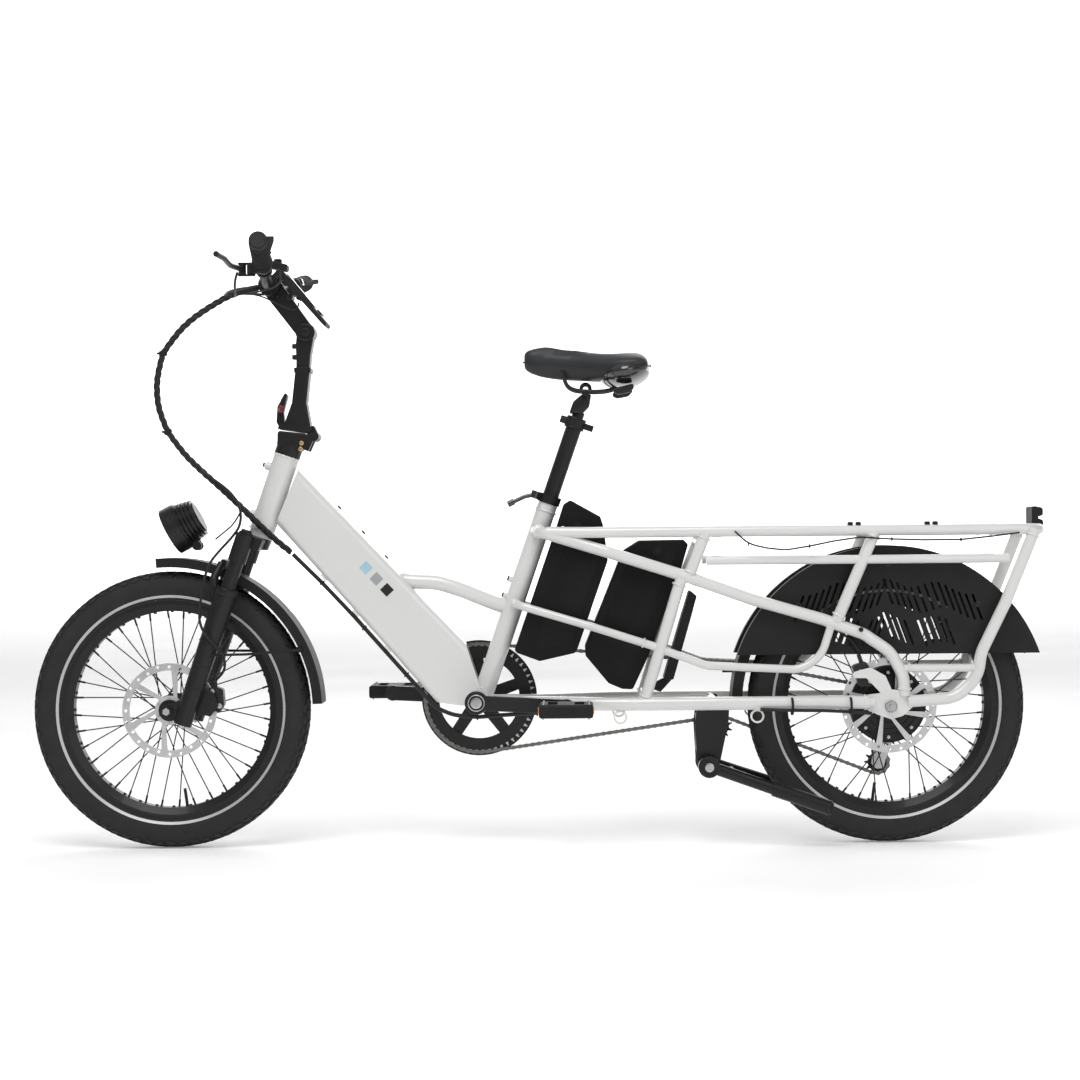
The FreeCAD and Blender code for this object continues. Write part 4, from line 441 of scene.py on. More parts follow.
class Finishes:
    """Every finish on the bicycle."""

    frame = Finish("frame_grey_gloss", (0.66, 0.665, 0.65), 0.30, Surface.PAINTED, coat=0.9, spread=0.08,
                   second=(0.70, 0.705, 0.69), patch=0.11, grain=0.0016, depth=0.00003)
    bead = Finish("weld_bead_paint", (0.60, 0.605, 0.59), 0.36, Surface.PAINTED, coat=0.7, grain=0.0009)
    satin = Finish("satin_black_paint", (0.012, 0.012, 0.013), 0.36, Surface.PAINTED, coat=0.12, spread=0.12,
                   second=(0.015, 0.015, 0.016), grain=0.0007, shine=0.22)
    gloss = Finish("gloss_black_paint", (0.009, 0.009, 0.01), 0.2, Surface.PAINTED, coat=1.0, spread=0.06,
                   second=(0.014, 0.014, 0.015))
    plastic = Finish("moulded_black_plastic", (0.011, 0.011, 0.012), 0.52, Surface.MOULDED, spread=0.14,
                     second=(0.018, 0.018, 0.019), grain=0.0008, depth=0.00008, shine=0.2)
    shell = Finish("battery_shell", (0.006, 0.006, 0.0065), 0.44, Surface.MOULDED, spread=0.12,
                   second=(0.009, 0.009, 0.0095), grain=0.0007, depth=0.00005, shine=0.16)
    tyre = Finish("tyre_rubber", (0.017, 0.017, 0.0175), 0.74, Surface.RUBBERY, spread=0.18,
                  second=(0.030, 0.029, 0.028), patch=0.03, grain=0.0013, depth=0.00018, shine=0.25)
    stripe = Finish("reflective_stripe", (0.44, 0.45, 0.46), 0.42, Surface.MOULDED, metallic=0.4,
                    second=(0.55, 0.56, 0.57), grain=0.0009)
    rubber = Finish("cable_rubber", (0.013, 0.013, 0.014), 0.5, Surface.RUBBERY, spread=0.14,
                    second=(0.018, 0.018, 0.019), grain=0.0008, depth=0.00008, shine=0.3)
    grip = Finish("grip_rubber", (0.022, 0.022, 0.024), 0.72, Surface.RIBBED, spread=0.12,
                  second=(0.026, 0.026, 0.028), grain=0.0028, depth=0.0005, shine=0.25)
    vinyl = Finish("saddle_vinyl", (0.022, 0.023, 0.025), 0.5, Surface.GRAINED, coat=0.1, spread=0.16,
                   second=(0.028, 0.029, 0.031), patch=0.02, grain=0.0017, depth=0.00022, shine=0.3)
    steel = Finish("brushed_steel", (0.42, 0.42, 0.43), 0.3, Surface.BRUSHED, metallic=1.0, spread=0.2,
                   second=(0.56, 0.56, 0.57), grain=0.0008)
    rotor = Finish("rotor_steel", (0.52, 0.52, 0.53), 0.32, Surface.BRUSHED, metallic=1.0, spread=0.2,
                   second=(0.68, 0.68, 0.69), patch=0.02, grain=0.0006)
    chain = Finish("chain_steel", (0.12, 0.115, 0.105), 0.38, Surface.BRUSHED, metallic=1.0, spread=0.25,
                   second=(0.26, 0.25, 0.23), patch=0.006, grain=0.0006)
    spoke = Finish("black_wire", (0.02, 0.02, 0.021), 0.3, Surface.BRUSHED, metallic=0.7, spread=0.1)
    brass = Finish("brass_screw", (0.55, 0.40, 0.17), 0.3, Surface.BRUSHED, metallic=1.0, spread=0.15)
    dark = Finish("anodised_black", (0.016, 0.016, 0.017), 0.34, Surface.BRUSHED, metallic=0.2, spread=0.14,
                  second=(0.024, 0.024, 0.026), shine=0.35)
    lens = Finish("clear_lens", (0.82, 0.85, 0.88), 0.1, Surface.CLEAR, spread=0.04, second=(0.9, 0.92, 0.95),
                  grain=0.006, depth=0.0006)
    mirror = Finish("lamp_reflector", (0.75, 0.76, 0.78), 0.12, Surface.BRUSHED, metallic=1.0, spread=0.05)
    red = Finish("red_lens", (0.42, 0.012, 0.012), 0.18, Surface.CLEAR, coat=0.8, second=(0.5, 0.03, 0.02),
                 grain=0.003, depth=0.0004)
    pink = Finish("pale_red_lens", (0.62, 0.33, 0.31), 0.15, Surface.CLEAR, coat=0.8,
                  second=(0.7, 0.45, 0.42), grain=0.003, depth=0.0004)
    amber = Finish("amber_reflector", (0.75, 0.20, 0.015), 0.18, Surface.MOULDED, coat=0.9,
                   second=(0.85, 0.30, 0.03), grain=0.0025, depth=0.0004)
    screen = Finish("dark_screen", (0.006, 0.007, 0.009), 0.08, Surface.PAINTED, coat=1.0, spread=0.03,
                    second=(0.009, 0.010, 0.013))
    label_blue = Finish("chip_pale_blue", (0.30, 0.48, 0.56), 0.35, Surface.PAINTED, coat=0.5)
    label_grey = Finish("chip_mid_grey", (0.28, 0.29, 0.30), 0.35, Surface.PAINTED, coat=0.5)
    floor = Finish("white_floor", (0.78, 0.78, 0.78), 0.8, Surface.MOULDED, spread=0.1,
                   second=(0.97, 0.97, 0.97), patch=0.6, grain=0.004, glow=0.2)
    wall = Finish("white_wall", (0.9, 0.9, 0.9), 0.8, Surface.MOULDED, spread=0.1,
                  second=(1.0, 1.0, 1.0), patch=0.6, grain=0.004, glow=1.1)


# ---------------------------------------------------------------- mesh helpers
def dress(piece: bpy.types.Object, finish: Finish) -> None:
    """Give every slot of an object one finish.

    Args:
        piece: The object.
        finish: Its finish.
    """
    material = finish.build()
    if not piece.material_slots:
        piece.data.materials.append(material)
    for place in piece.material_slots:
        place.material = material


class Bench:
    """Holds one bmesh while a piece is shaped, then turns it into an object."""

    def __init__(self) -> None:
        """Start empty."""
        self.mesh = bmesh.new()

    def _moved(self, made: dict, turn: Matrix, tint: int) -> list[bmesh.types.BMVert]:
        """Put the newly made vertices in place and mark their faces.

        Args:
            made: What a create operator returned.
            turn: The transform.
            tint: Material index of the faces.

        Returns:
            The vertices.
        """
        verts = made["verts"]
        bmesh.ops.transform(self.mesh, matrix=turn, verts=verts)
        for face in {f for v in verts for f in v.link_faces}:
            face.material_index = tint
        return verts

    def block(self, centre: Point, size: Point, turn: Optional[Matrix] = None, edge: float = 0.0,
              tint: int = 0) -> None:
        """Add a box with softened edges.

        Args:
            centre: Its middle.
            size: Its three lengths.
            turn: Its rotation.
            edge: Bevel width.
            tint: Material index.
        """
        made = bmesh.ops.create_cube(self.mesh, size=1.0)
        place = Matrix.Translation(Vector(centre)) @ (turn or Matrix.Identity(4)).to_4x4()
        verts = self._moved(made, place @ Matrix.Diagonal((*size, 1.0)), tint)
        if edge:
            edges = list({e for v in verts for e in v.link_edges})
            bmesh.ops.bevel(self.mesh, geom=edges, offset=edge, segments=2, profile=0.5, affect="EDGES",
                            material=-1)

    def peg(self, start: Point, end: Point, radius: float, tip: Optional[float] = None, sides: int = 24,
            edge: float = 0.0, tint: int = 0) -> None:
        """Add a round or tapered peg between two points.

        Args:
            start: Middle of its foot.
            end: Middle of its tip.
            radius: Radius at the foot.
            tip: Radius at the tip, the same when left out.
            sides: Number of sides.
            edge: Bevel width of both rims.
            tint: Material index.
        """
        a, b = Vector(start), Vector(end)
        along = b - a
        made = bmesh.ops.create_cone(self.mesh, cap_ends=True, segments=sides, radius1=radius,
                                     radius2=radius if tip is None else tip, depth=along.length)
        place = Matrix.Translation((a + b) / 2) @ along.to_track_quat("Z", "Y").to_matrix().to_4x4()
        verts = self._moved(made, place, tint)
        if edge:
            rims = [e for e in {e for v in verts for e in v.link_edges}
                    if all(len(f.verts) > 4 or len(f.verts) == 4 for f in e.link_faces)
                    and any(len(f.verts) > 4 for f in e.link_faces)]
            bmesh.ops.bevel(self.mesh, geom=rims, offset=edge, segments=2, profile=0.5, affect="EDGES",
                            material=-1)

    def socket_screw(self, place: Point, out: Point, radius: float, height: float, tint: int = 0) -> None:
        """Add a round screw head with a six-sided recess.

        Args:
            place: Middle of its seat.
            out: Direction it faces.
            radius: Head radius.
            height: Head height.
            tint: Material index.
        """
        made = bmesh.ops.create_circle(self.mesh, cap_ends=True, segments=24, radius=radius)
        turn = Matrix.Translation(Vector(place)) @ Vector(out).to_track_quat("Z", "Y").to_matrix().to_4x4()
        self._moved(made, turn, tint)
        top = made["verts"][0].link_faces[0]
        grown = bmesh.ops.extrude_face_region(self.mesh, geom=[top])
        lifted = [v for v in grown["geom"] if isinstance(v, bmesh.types.BMVert)]
        face = [f for f in grown["geom"] if isinstance(f, bmesh.types.BMFace)][0]
        out_way = Vector(out).normalized()
        bmesh.ops.translate(self.mesh, verts=lifted, vec=out_way * height)
        bmesh.ops.inset_individual(self.mesh, faces=[face], thickness=radius * 0.14)
        bmesh.ops.translate(self.mesh, verts=list(face.verts), vec=out_way * height * 0.14)
        bmesh.ops.inset_individual(self.mesh, faces=[face], thickness=radius * 0.32)
        bmesh.ops.inset_individual(self.mesh, faces=[face], thickness=0.00002)
        bmesh.ops.translate(self.mesh, verts=list(face.verts), vec=-out_way * height * 0.6)
        for part in {f for v in lifted for f in v.link_faces}:
            part.material_index = tint

    def hoop(self, centre: Point, axis: Point, radius: float, thick: float, steps: int = 48,
             wobble: float = 0.0, tint: int = 0, flat: float = 1.0) -> None:
        """Add a closed hoop by spinning a small circle.

        Args:
            centre: Middle of the hoop.
            axis: Its axis.
            radius: Its radius.
            thick: Radius of its section.
            steps: Steps round it.
            wobble: Ripple of the section, as on a weld.
            tint: Material index.
            flat: Width of the section along the axis over its height.
        """
        way = Vector(axis).normalized()
        side = way.orthogonal().normalized()
        before = set(self.mesh.faces)
        verts = bmesh.ops.create_circle(self.mesh, cap_ends=False, segments=8, radius=thick)["verts"]
        turn = Matrix((side, way, side.cross(way))).transposed().to_4x4()
        shift = Matrix.Translation(Vector(centre) + side * radius)
        place = shift @ turn @ Matrix.Diagonal((1.0, flat, 1.0, 1.0))
        bmesh.ops.transform(self.mesh, matrix=place, verts=verts)
        edges = list({e for v in verts for e in v.link_edges})
        bmesh.ops.spin(self.mesh, geom=verts + edges, cent=centre, axis=way, angle=math.tau, steps=steps,
                       use_merge=True)
        faces = set(self.mesh.faces) - before
        for face in faces:
            face.material_index = tint
        if wobble:
            middle = Vector(centre)
            for vert in {v for f in faces for v in f.verts}:
                around = vert.co - middle
                level = around - way * around.dot(way)
                angle = math.atan2(level.dot(side.cross(way)), level.dot(side))
                core = middle + level.normalized() * radius
                vert.co = core + (vert.co - core) * (1.0 + wobble * math.sin(angle * steps / 3))

    def turned(self, outline: Sequence[tuple[float, float]], centre: Point, steps: int = 64,
               tint: int = 0) -> None:
        """Spin an outline of (radius, y) about the wheel axis into a closed ring or disc.

        Args:
            outline: Corners of the closed outline.
            centre: A point on the axis.
            steps: Steps round it.
            tint: Material index.
        """
        middle = Vector(centre)
        verts = [self.mesh.verts.new(middle + Vector((r, y, 0))) for r, y in outline]
        edges = [self.mesh.edges.new((verts[i], verts[(i + 1) % len(verts)])) for i in range(len(verts))]
        before = set(self.mesh.faces)
        bmesh.ops.spin(self.mesh, geom=verts + edges, cent=centre, axis=(0, 1, 0), angle=math.tau, steps=steps,
                       use_merge=True)
        for face in set(self.mesh.faces) - before:
            face.material_index = tint

    def slab(self, outline: Sequence[tuple[float, float]], low: float, high: float, edge: float = 0.0,
             tint: int = 0) -> None:
        """Extrude an outline of (x, z) between two y planes.

        Args:
            outline: Its corners.
            low: First plane.
            high: Second plane.
            edge: Bevel width.
            tint: Material index.
        """
        verts = [self.mesh.verts.new((x, low, z)) for x, z in outline]
        face = self.mesh.faces.new(verts)
        face.material_index = tint
        grown = bmesh.ops.extrude_face_region(self.mesh, geom=[face])
        lifted = [v for v in grown["geom"] if isinstance(v, bmesh.types.BMVert)]
        bmesh.ops.translate(self.mesh, verts=lifted, vec=(0, high - low, 0))
        around = {f for v in verts + lifted for f in v.link_faces}
        for part in around:
            part.material_index = tint
        bmesh.ops.recalc_face_normals(self.mesh, faces=list(around))
        if edge:
            edges = list({e for v in verts + lifted for e in v.link_edges})
            bmesh.ops.bevel(self.mesh, geom=edges, offset=edge, segments=2, profile=0.5, affect="EDGES",
                            material=-1)

    def finish(self, name: str, body: Optional[str], finishes: Sequence[Finish], slot: Optional[str] = None,
               smooth: bool = True) -> bpy.types.Object:
        """Turn the shape into an object.

        Args:
            name: Object name.
            body: Body it rides on, or nothing yet.
            finishes: Materials in index order.
            slot: Material slot of the record.
            smooth: Shade by angle.

        Returns:
            The object.
        """
        bmesh.ops.recalc_face_normals(self.mesh, faces=list(self.mesh.faces))
        data = bpy.data.meshes.new(name)
        self.mesh.to_mesh(data)
        self.mesh.free()
        piece = bpy.data.objects.new(name, data)
        bpy.context.scene.collection.objects.link(piece)
        for finish in finishes:
            data.materials.append(finish.build())
        if smooth:
            for polygon in data.polygons:
                polygon.use_smooth = True
            data.set_sharp_from_angle(angle=math.radians(32))
        if body:
            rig.ride(piece, body)
        if slot:
            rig.slot(piece, slot)
        return piece


def tube_mesh(name: str, points: Iterable[Point], radius: float, steps: int = 10) -> bpy.types.Mesh:
    """Turn a NURBS route into a tube's mesh, or into its bare line where the radius is nothing.

    Args:
        name: Mesh name.
        points: Control points in metres.
        radius: Tube radius.
        steps: Divisions between two control points.

    Returns:
        The mesh.
    """
    curve = bpy.data.curves.new(name, "CURVE")
    curve.dimensions = "3D"
    curve.bevel_depth = radius
    curve.bevel_resolution = 3
    curve.use_fill_caps = True
    curve.resolution_u = steps
    route = list(points)
    spline = curve.splines.new("NURBS")
    spline.points.add(len(route) - 1)
    for held, place in zip(spline.points, route):
        held.co = (*place, 1.0)
    spline.order_u = 3
    spline.use_endpoint_u = True
    holder = bpy.data.objects.new(name + "_route", curve)
    bpy.context.scene.collection.objects.link(holder)
    graph = bpy.context.evaluated_depsgraph_get()
    data = bpy.data.meshes.new_from_object(holder.evaluated_get(graph))
    bpy.data.objects.remove(holder)
    data.name = name
    return data


def twisted_mesh(name: str, points: Iterable[Point], radius: float, strands: int = 3,
                 pitch: float = 0.046) -> bpy.types.Mesh:
    """Wind several strands round a NURBS route.

    Args:
        name: Mesh name.
        points: Control points in metres.
        radius: Radius round all the strands.
        strands: How many there are.
        pitch: Length of one turn.

    Returns:
        The mesh of all the strands.
    """
    line = [v.co.copy() for v in tube_mesh(name + "_line", points, 0.0).vertices]
    thick = radius * 0.54
    gone = 0.0
    across = Vector((0, 1, 0))
    turns = []
    for i, spot in enumerate(line):
        along = (line[min(i + 1, len(line) - 1)] - line[max(i - 1, 0)]).normalized()
        across = (across - along * across.dot(along)).normalized()
        turns.append((spot, across.copy(), along.cross(across), gone))
        gone += (line[min(i + 1, len(line) - 1)] - spot).length
    shape = bmesh.new()
    for k in range(strands):
        helix = []
        for spot, side, up, run in turns:
            angle = math.tau * (run / pitch + k / strands)
            helix.append(tuple(spot + (side * math.cos(angle) + up * math.sin(angle)) * (radius - thick)))
        shape.from_mesh(tube_mesh(name + "_strand", helix, thick, 2))
    data = bpy.data.meshes.new(name)
    shape.to_mesh(data)
    shape.free()
    return data


def cable(name: str, points: Iterable[Point], radius: float, finish: Finish, body: Optional[str],
          twisted: bool = False) -> bpy.types.Object:
    """Make a smooth or a twisted cable along a NURBS route.

    Args:
        name: Object name.
        points: Control points in metres.
        radius: Cable radius.
        finish: Its finish.
        body: Body it rides on, or nothing yet.
        twisted: Wind it from strands.

    Returns:
        The mesh object.
    """
    data = twisted_mesh(name, points, radius) if twisted else tube_mesh(name, points, radius)
    piece = bpy.data.objects.new(name, data)
    bpy.context.scene.collection.objects.link(piece)
    data.materials.clear()
    data.materials.append(finish.build())
    for polygon in data.polygons:
        polygon.use_smooth = True
    if body:
        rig.ride(piece, body)
    return piece


@dataclass(frozen=True)
class Place:
    """Turns millimetres, measured from the front axle's foot on the ground, into the frame's metres."""

    shift: float = -702.75

    def at(self, x: float, y: float, z: float) -> Point:
        """A point in metres."""
        return ((x + self.shift) / 1000.0, y / 1000.0, z / 1000.0)

    def flat(self, corners: Sequence[tuple[float, float]]) -> list[tuple[float, float]]:
        """Corners of (x, z) in metres."""
        return [((x + self.shift) / 1000.0, z / 1000.0) for x, z in corners]


PLACE = Place()
AT = PLACE.at


# ---------------------------------------------------------------- the solid model's finishes
@dataclass
class SolidFinishes:
    """Gives every node of the solid model its finish."""

    nodes: dict
    plan: dict = field(default_factory=lambda: {
        Finishes.frame: ("head_tube", "down_tube", "top_tube", "seat_tube", "bottom_bracket_shell",
                         "chainstays", "dropouts", "cargo_rails", "side_tubes"),
        Finishes.satin: ("fork_crown", "fork_lowers", "stem_base", "mast", "handlebar", "kickstand_bracket",
                         "kickstand_legs", "crank_arms", "hub_motor", "front_rim", "rear_rim", "front_hub",
                         "chainring", "headlight_housing", "derailleur", "seatpost", "latch_lever"),
        Finishes.plastic: ("rear_fender", "front_fender", "handlebar_controls", "frame_fittings", "taillight",
                           "left_pedal", "right_pedal", "throttle_lever", "shift_lever", "chain_idler",
                           "jockey_upper", "jockey_lower", "mode_button"),
        Finishes.shell: ("battery_front", "battery_rear"),
        Finishes.rotor: ("front_rotor", "rear_rotor"),
        Finishes.chain: ("chain", "cassette"),
        Finishes.steel: ("derailleur_cage",),
        Finishes.spoke: ("front_spokes", "rear_spokes"),
        Finishes.dark: ("front_caliper", "rear_caliper", "brake_lever_left", "brake_lever_right"),
        Finishes.gloss: ("seat_clamp_lever",),
        Finishes.rubber: ("cable_bundle", "frame_cables"),
        Finishes.grip: ("grips",),
        Finishes.tyre: ("front_tyre", "rear_tyre"),
        Finishes.vinyl: ("saddle",),
        Finishes.lens: ("headlight_lens",),
    })

    def build(self) -> None:
        """Dress the nodes."""
        for finish, names in self.plan.items():
            for name in names:
                dress(self.nodes[name], finish)
        LOG.info("dressed %d nodes", len(self.nodes))


# ---------------------------------------------------------------- wheels
@dataclass
class Wheel:
    """One wheel's tyre, stripe and small parts, in metres."""

    name: str
    body: str
    axle_x: float
    axle_z: float = 0.265
    outer: float = 0.265
    half_width: float = 0.031
    rim: float = 0.210
    knob_rows: tuple = ((0.0, 0.0125, 0.0), (0.0125, 0.0105, 0.5), (0.0235, 0.0085, 0.0))
    knobs_round: int = 72

    def carcass(self, bench: Bench) -> None:
        """Spin the tyre's outline into a closed ring."""
        crown = self.outer - 0.0032
        outline = []
        for i in range(15):
            angle = math.pi * (i / 14.0)
            y = -math.cos(angle) * self.half_width
            lift = math.sin(angle) ** 0.62
            outline.append((self.rim + 0.024 + (crown - self.rim - 0.024) * lift, y))
        bead = [(self.rim + 0.0003, -0.0205), (self.rim + 0.006, -0.0235), (self.rim + 0.014, -0.0285)]
        outline = bead + outline
        outline += [(self.rim + 0.014, 0.0285), (self.rim + 0.006, 0.0235), (self.rim + 0.0003, 0.0205)]
        outline += [(self.rim + 0.0003, 0.0165), (self.rim + 0.012, 0.022), (self.rim + 0.026, 0.026),
                    (self.rim + 0.044, 0.018), (self.rim + 0.047, 0.0), (self.rim + 0.044, -0.018),
                    (self.rim + 0.026, -0.026), (self.rim + 0.012, -0.022), (self.rim + 0.0003, -0.0165)]
        bench.turned(outline, (self.axle_x, 0, self.axle_z), steps=144)

    def surface_radius(self, y: float) -> float:
        """Radius of the carcass at a distance from the middle plane."""
        share = min(1.0, abs(y) / self.half_width)
        lift = math.sin(math.acos(share)) ** 0.62
        return self.rim + 0.024 + (self.outer - 0.0032 - self.rim - 0.024) * lift

    def knobs(self, bench: Bench) -> None:
        """Set rows of angular tread blocks round the tyre."""
        pitch = math.tau / self.knobs_round
        for row, (y, width, phase) in enumerate(self.knob_rows):
            for side in ((1,) if row == 0 else (-1, 1)):
                for i in range(self.knobs_round):
                    angle = (i + phase * (0.5 if side > 0 else 1.0)) * pitch
                    radius = self.surface_radius(y) - 0.0008
                    lean = side * math.atan2(y, 0.052) * 1.25
                    skew = math.radians(16) * (1 if i % 2 else -1) * (1 if side > 0 else -1)
                    length = radius * pitch * (0.74 if row < 2 else 0.62)
                    out = Vector((math.cos(angle), 0, math.sin(angle)))
                    around = Vector((-math.sin(angle), 0, math.cos(angle)))
                    turn = Matrix((around, Vector((0, 1, 0)), out)).transposed()
                    turn = turn @ Matrix.Rotation(-lean, 3, "X") @ Matrix.Rotation(skew, 3, "Z")
                    centre = Vector((self.axle_x, y * side, self.axle_z)) + out * (radius + 0.0001)
                    tall = 0.0058 if row < 2 else 0.0048
                    bench.block(tuple(centre), (length, width, tall), turn, 0.0)

    def stripe(self, bench: Bench) -> None:
        """Lay the pale reflective band on both side walls."""
        for side in (-1, 1):
            low, high = self.rim + 0.0042, self.rim + 0.0092
            y_low, y_high = 0.0229 * side, 0.0256 * side
            out = 0.0005 * side
            outline = [(low, y_low), (high, y_high), (high, y_high + out), (low, y_low + out)]
            bench.turned(outline, (self.axle_x, 0, self.axle_z), steps=120, tint=1)

    def fittings(self) -> None:
        """Add rim beads and nipples."""
        bench = Bench()
        for side in (-1, 1):
            outline = [(0.2086, 0.0192 * side), (0.2102, 0.0192 * side), (0.2102, 0.0202 * side),
                       (0.2086, 0.0200 * side)]
            bench.turned(outline, (self.axle_x, 0, self.axle_z), steps=120)
        for i in range(36):
            angle = math.tau * i / 36
            out = Vector((math.cos(angle), 0, math.sin(angle)))
            foot = Vector((self.axle_x, 0.0, self.axle_z)) + out * 0.1888
            bench.peg(tuple(foot), tuple(foot - out * 0.0035), 0.0034, 0.0028, 10)
        bench.finish(self.name + "_rim_details", self.body, [Finishes.dark], "black_paint")

    def build(self) -> None:
        """Make the tyre and fittings."""
        bench = Bench()
        self.carcass(bench)
        self.knobs(bench)
        self.stripe(bench)
        tyre = bench.finish(self.name + "_tread", self.body, [Finishes.tyre, Finishes.stripe], "tyre")
        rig.replaces(tyre, self.name + "_tyre")
        self.fittings()
        LOG.info("wheel %s", self.name)


# ---------------------------------------------------------------- drive
@dataclass(frozen=True)
class Circle:
    """One wheel that the chain passes; way is +1 where its middle lies to the chain's left."""

    x: float
    z: float
    radius: float
    way: int


@dataclass
class Drive:
    """Chain links, sprocket teeth, crank and pedal details, in metres."""

    chain_y: float = 0.050
    pitch: float = 0.0127
    ring_teeth: int = 52
    cog_teeth: int = 11
    jockey_teeth: int = 11
    idler_teeth: int = 10

    def pitch_radius(self, teeth: int) -> float:
        """Radius of the circle through the roller centres."""
        return self.pitch / (2 * math.sin(math.pi / teeth))

    def middle(self, node: str) -> Vector:
        """Middle of a node's box."""
        low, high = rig.box(node)
        return (low + high) / 2

    def circles(self) -> list[Circle]:
        """Every wheel along the chain."""
        lower, upper = self.middle("jockey_lower"), self.middle("jockey_upper")
        idler, cog = self.middle("chain_idler"), self.middle("cassette")
        ring_x, _, ring_z = AT(586.0, 0, 277.5)
        guide_x, _, guide_z = AT(1090.0, 0, 277.7)
        return [
            Circle(ring_x, ring_z, self.pitch_radius(self.ring_teeth), 1),
            Circle(idler.x, idler.z, self.pitch_radius(self.idler_teeth), -1),
            Circle(lower.x, lower.z, self.pitch_radius(self.jockey_teeth), 1),
            Circle(upper.x, upper.z, self.pitch_radius(self.jockey_teeth), -1),
            Circle(cog.x, cog.z, self.pitch_radius(self.cog_teeth) + 0.0006, 1),
            Circle(guide_x, guide_z, 0.064, 1),
        ]

    def route(self, step: float) -> list[tuple[Vector, Vector]]:
        """Walk along the chain.

        Args:
            step: Length of a step.

        Returns:
            Places and headings, evenly spaced.
        """
        wheels = self.circles()
        leave, arrive = [], [None] * len(wheels)
        for i, here in enumerate(wheels):
            there = wheels[(i + 1) % len(wheels)]
            way = Vector((there.x - here.x, there.z - here.z))
            heading = math.atan2(way.y, way.x) - math.asin((there.way * there.radius - here.way * here.radius)
                                                           / way.length)
            normal = Vector((-math.sin(heading), math.cos(heading)))
            leave.append(Vector((here.x, here.z)) - normal * here.way * here.radius)
            arrive[(i + 1) % len(wheels)] = Vector((there.x, there.z)) - normal * there.way * there.radius
        points = []
        for i, here in enumerate(wheels):
            middle = Vector((here.x, here.z))
            first = (arrive[i] - middle)
            last = (leave[i] - middle)
            start = math.atan2(first.y, first.x)
            swept = (here.way * (math.atan2(last.y, last.x) - start)) % math.tau
            parts = max(2, int(swept * here.radius / 0.002))
            for k in range(parts + 1):
                angle = start + here.way * swept * k / parts
                points.append(middle + Vector((math.cos(angle), math.sin(angle))) * here.radius)
        points.append(points[0])
        lengths = [0.0]
        for a, b in zip(points, points[1:]):
            lengths.append(lengths[-1] + (b - a).length)
        count = round(lengths[-1] / step)
        count += count % 2
        walk, k = [], 0
        for i in range(count):
            target = lengths[-1] * i / count
            while lengths[k + 1] < target:
                k += 1
            share = (target - lengths[k]) / max(1e-9, lengths[k + 1] - lengths[k])
            walk.append(points[k].lerp(points[k + 1], share))
        return [(walk[i], walk[(i + 1) % count]) for i in range(count)]

    def links(self) -> None:
        """Make the chain of rollers and side plates."""
        bench = Bench()
        for i, (a, b) in enumerate(self.route(self.pitch)):
            wide = 0.0024 if i % 2 else 0.0016
            bench.peg((a.x, self.chain_y - 0.0028, a.y), (a.x, self.chain_y + 0.0028, a.y), 0.0019, sides=8)
            bench.peg((a.x, self.chain_y - 0.0013, a.y), (a.x, self.chain_y + 0.0013, a.y), 0.0035, sides=8)
            along = (b - a).normalized()
            up = Vector((-along.y, along.x))
            tall, slim = 0.0039, 0.0027
            middle = (a + b) / 2
            outline = [a - along * 0.0034 - up * 0.0018, a - along * 0.0010 - up * tall, middle - up * slim,
                       b + along * 0.0010 - up * tall, b + along * 0.0034 - up * 0.0018,
                       b + along * 0.0034 + up * 0.0018, b + along * 0.0010 + up * tall, middle + up * slim,
                       a - along * 0.0010 + up * tall, a - along * 0.0034 + up * 0.0018]
            for side in (-1, 1):
                low = self.chain_y + side * wide - (0.0006 if side < 0 else 0.0)
                bench.slab([(p.x, p.y) for p in outline], low, low + 0.0006)
        chain = bench.finish("chain_links", "frame", [Finishes.chain], "steel", smooth=False)
        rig.replaces(chain, "chain")

    def teeth(self, name: str, body: str, circle: Circle, teeth: int, y: float, finish: Finish) -> None:
        """Put teeth round a sprocket.

        Args:
            name: Piece name.
            body: Body it rides on.
            circle: The sprocket's pitch circle.
            teeth: Their number.
            y: The sprocket's plane.
            finish: Their finish.
        """
        bench = Bench()
        for i in range(teeth):
            angle = math.tau * (i + 0.5) / teeth
            out = Vector((math.cos(angle), math.sin(angle)))
            side = Vector((-out.y, out.x))
            middle = Vector((circle.x, circle.z))
            low, high = circle.radius - 0.0062, circle.radius + 0.0030
            corners = [middle + out * low - side * 0.0031, middle + out * (low + 0.0030) - side * 0.0026,
                       middle + out * high - side * 0.0008, middle + out * high + side * 0.0008,
                       middle + out * (low + 0.0030) + side * 0.0026, middle + out * low + side * 0.0031]
            bench.slab([(p.x, p.y) for p in corners], y - 0.0009, y + 0.0009)
        bench.finish(name, body, [finish], "steel", smooth=False)

